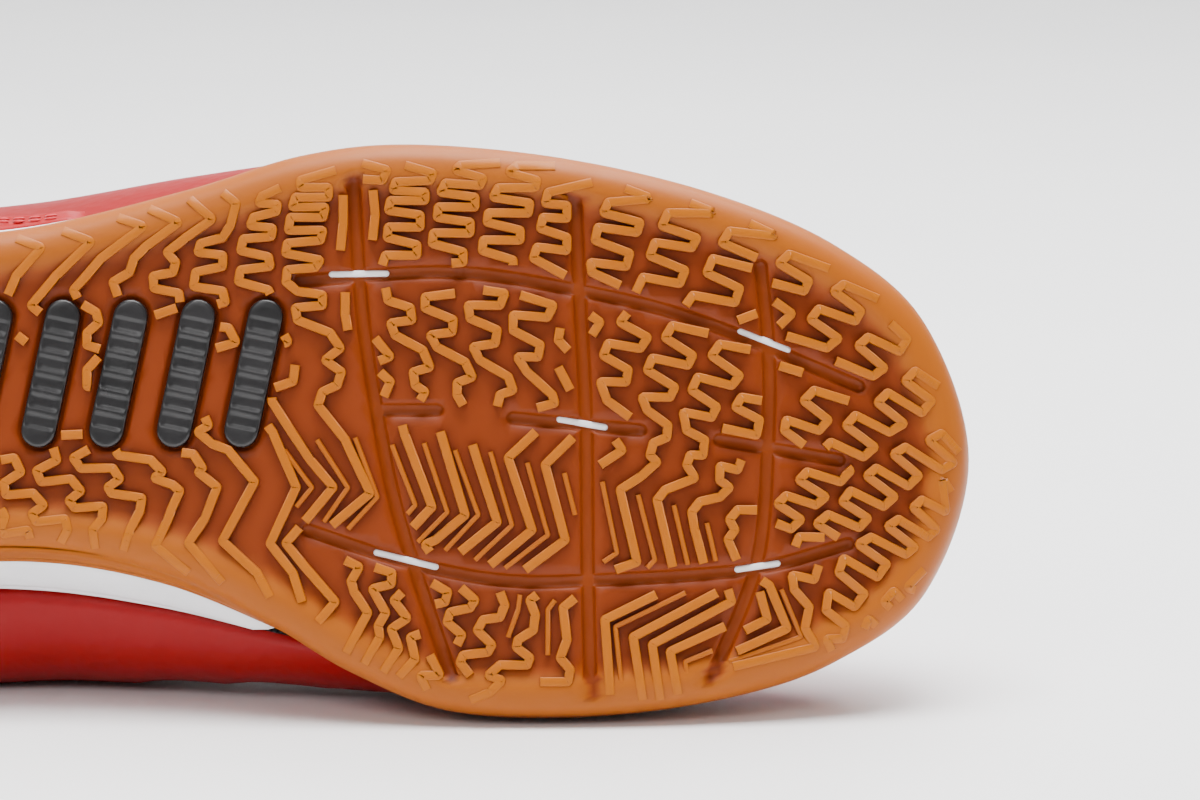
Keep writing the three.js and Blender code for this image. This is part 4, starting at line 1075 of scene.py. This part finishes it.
# How far the round edge climbs, in millimetres, at insets from the sole's widest line.
EDGE_INSETS = [0.35, 0.8, 1.4, 2.1, 3, 4, 5]
EDGE_LIFTS = [3.6, 2.45, 1.55, 0.92, 0.4, 0.12, 0]


def rib_mesh(name, lines, width, corner, top):
    """One kind of rib. The tree works in the shoe's frame, and the result is laid on the sole after."""
    height = 0.0018
    mesh = grown(ribs_tree, name, rib_lines(name, lines, top + height * 500),
                 {"Width": width, "Height": height, "Corner": corner, "Material": lit_rib_gum})
    place = np.zeros(len(mesh.vertices) * 3)
    mesh.vertices.foreach_get("co", place)
    place = place.reshape(-1, 3)
    paint_depth(mesh, place)
    inset = distance_to_lines(place[:, :2] * 1000, [edge_line])
    place[:, 2] += np.interp(inset, EDGE_INSETS, EDGE_LIFTS) * 0.001
    mesh.vertices.foreach_set("co", (place @ AXES + ORIGIN).ravel())
    mesh.update()
    return mesh


ribs_tree = sweep_tree()
for name, lines, width, corner, top in [("tread_ribs", main_lines, 0.00175, 0.00022, 0.0),
                                        ("tread_thin_ribs", thin_lines, 0.00095, 0.0002, 0.25)]:
    grown_piece(name, rib_mesh(name, lines, width, corner, top), lit_rib_gum,
                nodes=["outsole"])

# %% [markdown]
# ## The black rubber bars
# Behind the forefoot the sole carries five plain black bars, moulded apart and set in recesses.
# Each is a pad with rounded shoulders and a few low ridges across it. A single prism would look
# stamped; rings drawn in from the outline give the soft shoulder, and a wave in the top the ridges.
# The innermost ring is closed from side to side, so the top has no slit.

# %% Black rubber bars
bar_points, bar_faces = [], []
start = 0
for line in inlay_lines:
    along = (line[-1] - line[0]) / np.linalg.norm(line[-1] - line[0])
    base_line = np.array([line[0] + (line[-1] - line[0]) * s for s in np.linspace(0, 1, 61)])
    rings = []
    for half, up in [(3.2, 2.3), (3.2, 0.7), (3.12, 0.3), (2.9, 0.08), (2.5, 0.0), (1.6, 0.0), (0.8, 0.0)]:
        ring = capsule(base_line, half, 9)
        run = (ring - line[1]) @ along
        ridge = 0.28 * np.clip(np.cos(run * 2 * math.pi / 3.6) * 3 - 0.6, 0, 1)
        lift = up + (0.34 - ridge) * smoothstep(3.0, 2.4, half) * smoothstep(11.5, 10.5, np.abs(run))
        rings.append(np.column_stack([ring, ground_rise(ring[:, 0]) + lift]))
    size = len(rings[0])
    bar_points += rings
    bar_faces += turned(skin(len(rings), size, close_columns=True, start=start))
    bar_faces += capsule_lid(61, 9, start + (len(rings) - 1) * size)
    start += len(rings) * size
add_piece("tread_bars", np.vstack(bar_points), bar_faces, [black_rubber],
          nodes=[f"tread_inlay_{i}" for i in range(1, 6)])

# %% [markdown]
# ## The foam midsole
# The midsole is a moulded foam wedge. It fills the cup and stands out over the low rim along the
# arch, where the photograph shows a white band with a soft lower edge. It follows the CAD's rings,
# with more of them where it shows, so that its lip rounds over.

# %% Midsole
PER_STATION = 8
places = ring_places(PER_STATION)


def inner_wall(t):
    return np.minimum(rim_out(t) - 2.8, feather_out(t) + 0.75)


hidden = inner_wall(places) - 0.3
shows = smoothstep(0.8, 2.6, seat_at(places) - rim_height(places))
neck = np.minimum(seat_at(places), rim_height(places)) - 1
over_rim = np.minimum(rim_height(places) + 0.3, seat_at(places) - 0.4)
low_out = mix(hidden, rim_out(places) + 0.1, shows)
high_out = mix(hidden, feather_out(places) + 0.5, shows)
rings = [beside_line(places, out, up) for out, up in [
    (hidden - 9, 4.45), (hidden - 1.2, 4.45), (hidden, neck), (hidden, over_rim),
    (mix(hidden, low_out, 0.6), over_rim + 0.02), (low_out - 0.5, over_rim + 0.05)]]
for share in (0.04, 0.12, 0.25, 0.4, 0.55, 0.7, 0.82, 0.86, 0.9, 0.97):
    crease_in = 0.35 if 0.82 < share < 0.9 else 0
    bulge = 0.55 * math.sin(math.pi * min(1, share * 1.05)) * shows - crease_in * shows
    rings.append(beside_line(places, mix(low_out, high_out, share) + bulge,
                             mix(over_rim + 0.1, seat_at(places), share)))
rings.append(beside_line(places, high_out - 0.5 * shows, seat_at(places) - 0.02))
rings.append(beside_line(places, high_out - 6, seat_at(places)))
count = len(places)
faces = skin(len(rings), count, close_columns=True)
faces += centre_fan(list(range(count)), False)
faces += centre_fan(list(range((len(rings) - 1) * count, len(rings) * count)), True)
foam_points = [np.vstack(rings)]
start = len(foam_points[0])
# A low nub of foam stands in each slot of the outsole.
for line in slot_lines:
    nub = [capsule(np.linspace(line[0], line[1], 9), half, 5) for half in (0.62, 0.6, 0.45, 0.25)]
    size = len(nub[0])
    for outline, up in zip(nub, (5.0, 2.35, 2.15, 2.1)):
        foam_points.append(np.column_stack([outline, ground_rise(outline[:, 0]) + up]))
    faces += turned(skin(len(nub), size, close_columns=True, start=start))
    faces += capsule_lid(9, 5, start + (len(nub) - 1) * size)
    start += len(nub) * size
add_piece("midsole_foam", np.vstack(foam_points), faces, [white_foam], nodes=["midsole"])

# %% [markdown]
# ## The insole
# A textile-covered foam sheet lies on the midsole and turns up a little at its border. It is only
# seen through the collar. The CAD holds it as a plain plate. Rings drawn in from the feather line
# give it a soft border that keeps clear of the lining.

# %% Insole
out = feather_out(places) - 3.05
low = seat_at(places) + 0.3
rings = [beside_line(places, out - inward, low + up) for inward, up in [
    (9, 0), (1, 0), (0.2, 0.5), (0, 1.5), (0, 3.2), (0.35, 3.5), (1.2, 3.45), (4, 2.9), (9, 2.5)]]
faces = skin(len(rings), count, close_columns=True)
faces += centre_fan(list(range(count)), False)
faces += centre_fan(list(range((len(rings) - 1) * count, len(rings) * count)), True)
insole = add_piece("insole_sheet", np.vstack(rings), faces, [grey_textile], nodes=["insole"])

# %% [markdown]
# ## The upper
# The upper is leather lasted over a foot form: it stands on the midsole, bulges under the arch and
# draws in to the throat. Its wall is real, with a textile lining inside, thicker at the collar,
# where foam sits between leather and lining. The leather bends most over the ball, and soft creases
# run across it there. They are low waves in the mesh, strongest at the vamp's sides.

# %% Upper and lining
PER_STATION = 8
places = ring_places(PER_STATION)
count = len(places)
RISE = 30
WALL = 3
COLLAR_PADDING = 2.5
CREASE_DEPTH = 0.38


def wall_at(t, share):
    collar = 1 - smoothstep(0.28, 0.36, around("along", t))
    return WALL + COLLAR_PADDING * collar * smoothstep(0.62, 0.9, share)


def crease(t, share):
    """Soft troughs across the vamp where the shoe bends, in millimetres inwards."""
    x = around("along", t) * SOLE_LENGTH
    strength = smoothstep(0.12, 0.3, share) * smoothstep(0.8, 0.55, share)
    reach = smoothstep(168, 190, x) * smoothstep(244, 222, x)
    main_wave = np.sin((x + 26 * share) * 2 * math.pi / 13.0)
    cross_wave = 0.5 * np.sin((x - 14 * share) * 2 * math.pi / 7.7 + 1)
    return CREASE_DEPTH * strength * reach * (main_wave + cross_wave)


outside, lining = [], []
for share in np.linspace(0, 1, RISE + 1):
    outside.append(on_upper(places, share, -np.abs(crease(places, share))))
    lining.append(on_upper(places, share, -wall_at(places, share)))
edge_roll = []
for turn in np.linspace(0, math.pi, 7)[1:-1]:
    wall = wall_at(places, 1.0)
    roll = on_upper(places, 1.0, -wall * (1 - math.cos(turn)) / 2)
    roll[:, 2] += np.sin(turn) * wall * 0.32
    edge_roll.append(roll)
rings = outside + edge_roll + lining[::-1]
faces = skin(len(rings), count, close_rows=True, close_columns=True)
row_of_face = np.repeat(np.arange(len(rings)), count)
inner = (row_of_face > len(outside) + 2).astype(int)
add_piece("upper_shell", np.vstack(rings), faces, [red_leather, grey_textile], inner,
          nodes=["upper"])

# %% [markdown]
# ## What is sewn on the upper
# Three overlays lie on the leather: the eyestay around the throat, the guard round the toe and the
# counter round the heel. Each is cut from leather about a millimetre thick, so its border is
# rounded and pressed down by a row of stitches. The stitches repeat along a path, so geometry
# nodes set one small thread form along each line.

# %% Overlays
EYESTAY_SPAN = (-8, 9)
TOE_GUARD_SPAN = (-5, 4 + 2 / 3)
COUNTER_SPAN = (10 + 2 / 3, 19 + 1 / 3)


def overlay_form(span, lower, higher, rows, proud=1.35):
    """A patch on the upper with rounded borders: its points and faces."""
    columns = int((span[1] - span[0]) * 10) + 1
    t = np.linspace(*span, columns)
    low, high = lower(t), higher(t)
    lengths = profile(t)
    reach = np.linalg.norm(curve_point(lengths, high) - curve_point(lengths, low), axis=1)
    steps = np.linalg.norm(np.diff(on_upper(t, (low + high) / 2), axis=0), axis=1)
    along = np.concatenate([[0], np.cumsum(steps)])
    ends = np.minimum(along, along[-1] - along)
    outer, inner_grid = [], []
    for share in 0.5 - 0.5 * np.cos(np.linspace(0, math.pi, rows)):
        border = np.minimum(ends, np.minimum(share, 1 - share) * reach)
        rise = np.sqrt(np.clip(1 - (1 - np.clip(border / 1.1, 0, 1)) ** 2, 0, 1))
        seam = 0.32 * np.exp(-((border - 2.0) / 0.55) ** 2)
        outer.append(on_upper(t, mix(low, high, share), 0.12 + (proud - 0.12) * rise - seam))
        inner_grid.append(on_upper(t, mix(low, high, share), -0.3))
    points = np.vstack(outer + inner_grid)
    return points, plate_faces(rows, columns)


def guard_foot(t):
    return share_at_height(t, np.maximum(rim_height(t), seat_at(t)) + 0.8)


def guard_top(t):
    share = np.where(t < 0, t / TOE_GUARD_SPAN[0], t / TOE_GUARD_SPAN[1])
    return guard_foot(t) + mix(0.05, 0.26, np.maximum(0, np.cos(math.pi / 2 * share)) ** 0.8)


def counter_foot(t):
    return share_at_height(t, seat_at(t) + 0.8)


def counter_top(t):
    share = np.where(t < 14, (14 - t) / (14 - COUNTER_SPAN[0]), (t - 14) / (COUNTER_SPAN[1] - 14))
    return counter_foot(t) + mix(0.6, 0.06, smoothstep(0.15, 1, share))


def eyestay_foot(t):
    return share_from_edge(t, 15)


def eyestay_top(t):
    return np.full(np.shape(t), 0.985)


for name, node, span, low, high, rows in [
    ("eyestay_leather", "eyestay", EYESTAY_SPAN, eyestay_foot, eyestay_top, 17),
    ("toe_guard_leather", "toe_guard", TOE_GUARD_SPAN, guard_foot, guard_top, 17),
    ("heel_counter_leather", "heel_counter", COUNTER_SPAN, counter_foot, counter_top, 25),
]:
    points, faces = overlay_form(span, low, high, rows)
    add_piece(name, points, faces, [red_overlay], nodes=[node])

# %% Stitches with geometry nodes


def stitch_tree():
    """A short rounded thread set at even steps along every line, turned with the line."""
    tree = new_tree("stitches", [("Step", "NodeSocketFloat"), ("Length", "NodeSocketFloat"),
                                 ("Thickness", "NodeSocketFloat"), ("Material", "NodeSocketMaterial")])
    given = put(tree, "NodeGroupInput")
    result = put(tree, "NodeGroupOutput")
    lines = put(tree, "GeometryNodeMeshToCurve")
    places_on = put(tree, "GeometryNodeCurveToPoints", mode="LENGTH")
    form = put(tree, "GeometryNodeMeshUVSphere")
    form.inputs["Segments"].default_value = 6
    form.inputs["Rings"].default_value = 5
    form.inputs["Radius"].default_value = 0.5
    size = put(tree, "ShaderNodeCombineXYZ")
    stretch = put(tree, "GeometryNodeTransform")
    turn = put(tree, "FunctionNodeAlignRotationToVector", axis="X")
    tangent = put(tree, "GeometryNodeInputTangent")
    store = put(tree, "GeometryNodeCaptureAttribute", domain="POINT")
    store.capture_items.new("VECTOR", "Tangent")
    instance = put(tree, "GeometryNodeInstanceOnPoints")
    realize = put(tree, "GeometryNodeRealizeInstances")
    smooth = put(tree, "GeometryNodeSetShadeSmooth")
    paint = put(tree, "GeometryNodeSetMaterial")
    wire(tree, [
        (given, "Geometry", lines, "Mesh"), (lines, "Curve", store, "Geometry"),
        (tangent, "Tangent", store, "Tangent"), (store, "Geometry", places_on, "Curve"),
        (given, "Step", places_on, "Length"), (store, "Tangent", turn, "Vector"),
        (given, "Length", size, "X"), (given, "Thickness", size, "Y"),
        (given, "Thickness", size, "Z"), (form, "Mesh", stretch, "Geometry"),
        (size, "Vector", stretch, "Scale"), (places_on, "Points", instance, "Points"),
        (stretch, "Geometry", instance, "Instance"), (turn, "Rotation", instance, "Rotation"),
        (instance, "Instances", realize, "Geometry"), (realize, "Geometry", smooth, "Geometry"),
        (smooth, "Geometry", paint, "Geometry"), (given, "Material", paint, "Material"),
        (paint, "Geometry", result, "Geometry")])
    return tree


def line_mesh(name, lines):
    points, edges = [], []
    for line in lines:
        first = len(points)
        points += to_row(line).tolist()
        edges += [(first + i, first + i + 1) for i in range(len(line) - 1)]
    mesh = bpy.data.meshes.new(name)
    mesh.from_pydata(points, edges, [])
    return mesh


def seam_line(span, edge, inward, lift, ends=0.2):
    t = np.linspace(span[0] + ends, span[1] - ends, 240)
    share = edge(t)
    length = (1 - share_from_edge(t, 1.0))
    return on_upper(t, share + inward * length, lift)


seams = []
for span, low, high in [(EYESTAY_SPAN, eyestay_foot, eyestay_top), (TOE_GUARD_SPAN, guard_foot, guard_top),
                        (COUNTER_SPAN, counter_foot, counter_top)]:
    for inward in (2.0, 3.6):
        seams.append(seam_line(span, low if low is eyestay_foot else high,
                               inward if low is eyestay_foot else -inward, 1.2 if inward < 3 else 1.38))
collar_t = np.linspace(9.2, 18.8, 300)
seams.append(on_upper(collar_t, share_from_edge(collar_t, 6.0), 0.05))
stitches = grown(stitch_tree(), "stitches", line_mesh("seams", seams),
                 {"Step": 0.0031, "Length": 0.0025, "Thickness": 0.0006, "Material": thread})
grown_piece("seam_stitches", stitches, thread)

# %% [markdown]
# ## Eyelets
# Six pairs of punched eyelets hold the lace. A real eyelet goes through eyestay, leather and lining.
# Cutting all three would need holes in fine meshes for something two millimetres wide, so each
# eyelet is a low dark ring with a sunk dark dish, set square to the leather, and the lace dives
# into it. The dark dish stands where the hole would be: painted shade in place of the hole.

# %% Eyelets
eyelets = {}
for side, (front, back_end) in {"medial": (2.6, 8.7), "lateral": (-2.6, -7.7)}.items():
    for index in range(6):
        t = np.array([mix(front, back_end, index / 5)])
        eyelets[side, index] = (t, share_from_edge(t, 7.0))
ring_points, ring_faces = [], []
start = 0
for t, share in eyelets.values():
    base = on_upper(t, share, 0.0)[0]
    normal = on_upper(t, share, 1.0)[0] - base
    across = np.cross(normal, (0.3, 0.2, 1.0))
    across /= np.linalg.norm(across)
    other = np.cross(normal, across)
    turns = np.linspace(0, 2 * math.pi, 20, endpoint=False)[:, None]
    circle = across * np.cos(turns) + other * np.sin(turns)
    # The last ring closes into a dark dish: painted shade where the hole would be.
    for radius, up in [(3.0, 1.2), (2.95, 1.55), (2.6, 1.85), (2.1, 1.75), (1.8, 1.3), (1.75, 0.4),
                       (0.2, 0.35)]:
        ring_points.append(base + circle * radius + normal * up)
    ring_faces += skin(7, 20, close_columns=True, start=start)
    start += 7 * 20
add_piece("eyelet_rings", np.vstack(ring_points), ring_faces, [dark_eyelet_and_hole_shade],
          nodes=["eyestay"])

# %% [markdown]
# ## The tongue
# The tongue is a padded textile flap under the laces. It is a closed form with rounded borders, a
# crown in the middle and a bound edge. It keeps under the eyelets, and its free end leans back over
# the collar's mouth.

# %% Tongue


def throat_row(u, across):
    """The tongue's upper face in the throat, from the toe end at 0 to the top eyelets at 1."""
    under = -3.9
    lap = mix(12, 2.5, smoothstep(0.4, 1, u))

    def both(sign, last):
        t = np.array([mix(sign * 1.2, last, u)])
        return on_upper(t, 1.0, under)[0], on_upper(t, share_from_edge(t, lap), under)[0]

    medial_edge, medial_side = both(1, 8.7)
    lateral_edge, lateral_side = both(-1, -7.7)
    crown = (medial_edge + lateral_edge) / 2
    crown[2] += 2 * smoothstep(0, 0.3, u)
    knots = np.array([lateral_side, lateral_edge, crown, medial_edge, medial_side])
    padded = np.vstack([2 * knots[0] - knots[1], knots, 2 * knots[-1] - knots[-2]])
    place = np.clip((across + 1) * 2, 0, 3.9999)
    whole = place.astype(int)
    s = (place - whole)[:, None]
    a, b, c, d = (padded[whole + i] for i in range(4))
    return spline(a, b, c, d, s)


across = np.sin(np.linspace(-math.pi / 2, math.pi / 2, 33))
tip_t = across * 1.2
outer = [on_upper(tip_t, share_from_edge(tip_t, 12), -3.9)]
outer += [throat_row(u, across) for u in np.linspace(0, 1, 22)]
root = outer[-1]
middle = root[16]
for share in (0.06, 0.12, 0.2, 0.3, 0.4, 0.5, 0.6, 0.7, 0.78, 0.85, 0.91, 0.955, 0.985, 1.0):
    rise = share * 32
    width = mix(1, 0.86, smoothstep(0, 0.12, share)) * math.sqrt(1 - 0.75 * smoothstep(0.7, 1, share) ** 2)
    row = root.copy()
    row[:, 0] -= rise * math.cos(math.radians(42))
    row[:, 1] = mix(middle[1], root[:, 1], width)
    row[:, 2] += rise * math.sin(math.radians(42)) + (middle[2] - root[:, 2]) * 0.3 * share
    outer.append(row)
outer = np.array(outer)
along_rows = np.gradient(outer, axis=0)
along_columns = np.gradient(outer, axis=1)
normals = np.cross(along_columns, along_rows)
normals /= np.maximum(np.linalg.norm(normals, axis=2, keepdims=True), 1e-9)
rows, columns = outer.shape[:2]
row_share = np.linspace(0, 1, rows)[:, None]
thick = 2.5 + 3 * smoothstep(0.5, 0.8, row_share)
side_round = np.sqrt(np.clip(1 - np.abs(across[None, :]) ** 6, 0.02, 1))
end_round = np.sqrt(np.clip(1 - smoothstep(0.93, 1.0, row_share) ** 2, 0.04, 1))
quilt = 0.35 * np.exp(-((np.abs(across)[None, :] - 0.84) / 0.03) ** 2)
body = thick * side_round * end_round
top_face = outer - normals * ((thick - body) / 2 + quilt)[..., None]
under_face = outer - normals * ((thick + body) / 2 - quilt * 0.5)[..., None]
points = np.vstack([top_face.reshape(-1, 3), under_face.reshape(-1, 3)])
tongue = add_piece("tongue_pad", points, plate_faces(rows, columns), [red_textile], nodes=["tongue"])

# %% [markdown]
# ## The laces
# One flat woven lace runs straight across the front pair and then crosses over, up to the top
# eyelets, where its hidden ends stop. Each stretch dives through its two eyelets, narrows there and
# lies flat between them. The stretch from the lateral side goes over the other.

# %% Laces
LACE_HALF_WIDTH = 3.0
LACE_HALF_THICKNESS = 0.6


def lace_form(first, last, over):
    """One stretch of flat lace from a medial to a lateral eyelet."""
    (t_a, s_a), (t_b, s_b) = first, last
    lift = 1.95 + over
    seats = [(t_a, s_a, -2.6, 0.4), (t_a, s_a, lift + 0.5, 0.45),
             (t_a, mix(s_a, 1.0, 0.5), lift + 0.35, 0.9), (t_a, 1.0, lift + 0.2, 1.0),
             (t_b, 1.0, lift + 0.2, 1.0), (t_b, mix(s_b, 1.0, 0.5), lift + 0.35, 0.9),
             (t_b, s_b, lift + 0.5, 0.45), (t_b, s_b, -2.6, 0.4)]
    knots = np.array([on_upper(np.atleast_1d(t), np.atleast_1d(s), o)[0] for t, s, o, _ in seats])
    ups = np.array([(on_upper(np.atleast_1d(t), np.atleast_1d(s), 1.0)
                     - on_upper(np.atleast_1d(t), np.atleast_1d(s), 0.0))[0] for t, s, _, _ in seats])
    widths = np.array([w for *_, w in seats])
    straight = knots[6] - knots[1]
    straight /= np.linalg.norm(straight)
    padded = np.vstack([2 * knots[0] - knots[1], knots, 2 * knots[-1] - knots[-2]])
    course, sides, wides = [], [], []
    for i in range(7):
        a, b, c, d = padded[i:i + 4]
        for s in np.linspace(0, 1, 10 if i == 3 else 5, endpoint=i == 6):
            course.append(spline(a, b, c, d, s))
            side = np.cross(mix(ups[i], ups[i + 1], s), straight)
            sides.append(side / np.linalg.norm(side))
            wides.append(LACE_HALF_WIDTH * mix(widths[i], widths[i + 1], s))
    course, sides, wides = np.array(course), np.array(sides), np.array(wides)
    lie = np.cross(np.gradient(course, axis=0), sides)
    lie /= np.linalg.norm(lie, axis=1, keepdims=True)
    angle = np.linspace(0, 2 * math.pi, 12, endpoint=False)
    flat_x = np.abs(np.cos(angle)) ** 0.6 * np.sign(np.round(np.cos(angle), 9))
    flat_z = np.abs(np.sin(angle)) ** 0.8 * np.sign(np.round(np.sin(angle), 9))
    return (course[:, None] + sides[:, None] * (wides[:, None] * flat_x)[..., None]
            + lie[:, None] * (LACE_HALF_THICKNESS * flat_z)[:, None])


lace_points, lace_faces = [], []
start = 0
stretches = [((("medial", 0), ("lateral", 0)), 0.0)]
for i in range(5):
    stretches.append(((("medial", i), ("lateral", i + 1)), 0.0))
    stretches.append(((("medial", i + 1), ("lateral", i)), 0.9))
for (a, b), over in stretches:
    form = lace_form(eyelets[a], eyelets[b], over)
    rows, columns = form.shape[:2]
    lace_points.append(form.reshape(-1, 3))
    lace_faces += skin(rows, columns, close_columns=True, start=start)
    lace_faces.append(tuple(reversed(range(start, start + columns))))
    lace_faces.append(tuple(range(start + (rows - 1) * columns, start + rows * columns)))
    start += rows * columns
add_piece("laces_woven", np.vstack(lace_points), lace_faces, [lace_weave], nodes=["laces"])

# %% [markdown]
# ## Floor and light
# A studio sweep: pale floor, rounded up into a pale wall. One large soft light hangs over the shoe
# and in front of it, a second fills from the camera's side, and the sky is a pale even grey-white.
# So the lateral rim is light, and the red leather falls to near black close to the floor.

# %% Stage and lights


def make_floor():
    n = Nodes("pale_floor")
    tone = n.ramp(n.noise(3, 3), [(0.3, (0.86, 0.86, 0.87, 1)), (0.7, (0.9, 0.9, 0.9, 1))])
    return n.finish(Base_Color=tone, Roughness=n.range(n.noise(40), 0.5, 0.65))


floor_points = []
for i in range(13):
    angle = math.pi / 2 * i / 12
    floor_points.append((1.6 + 0.5 * math.sin(angle), 0.5 - 0.5 * math.cos(angle)))
section = [(-2.5, 0.0)] + floor_points + [(2.1, 2.5)]
floor_mesh = bpy.data.meshes.new("floor")
floor_mesh.from_pydata([(x, y, z) for y, z in section for x in (-3.0, 3.0)], [],
                       [(2 * i, 2 * i + 1, 2 * i + 3, 2 * i + 2) for i in range(len(section) - 1)])
floor_mesh.polygons.foreach_set("use_smooth", [True] * len(floor_mesh.polygons))
floor_mesh.materials.append(make_floor())
floor = bpy.data.objects.new("floor", floor_mesh)
scene.collection.objects.link(floor)

world = bpy.data.worlds.new("studio")
scene.world = world
world.use_nodes = True
sky = next(n for n in world.node_tree.nodes if n.type == "BACKGROUND")
sky.inputs["Color"].default_value = (1, 1, 1, 1)
sky.inputs["Strength"].default_value = 0.34


def area_light(name, place, aim, width, depth, power):
    data = bpy.data.lights.new(name, "AREA")
    data.shape = "RECTANGLE"
    data.size, data.size_y, data.energy = width, depth, power
    light = bpy.data.objects.new(name, data)
    scene.collection.objects.link(light)
    light.location = place
    light.rotation_euler = (Vector(aim) - Vector(place)).to_track_quat("-Z", "Y").to_euler()
    return light


area_light("top", (0.05, -0.12, 1.2), (0.03, 0.0, 0.05), 0.9, 0.7, 37)
area_light("front", (-0.4, -1.2, 0.95), (0.05, 0.0, 0.05), 0.8, 0.6, 7)
area_light("back", (0.3, 0.7, 1.3), (0.03, 0.5, 0.0), 1.4, 1.2, 40)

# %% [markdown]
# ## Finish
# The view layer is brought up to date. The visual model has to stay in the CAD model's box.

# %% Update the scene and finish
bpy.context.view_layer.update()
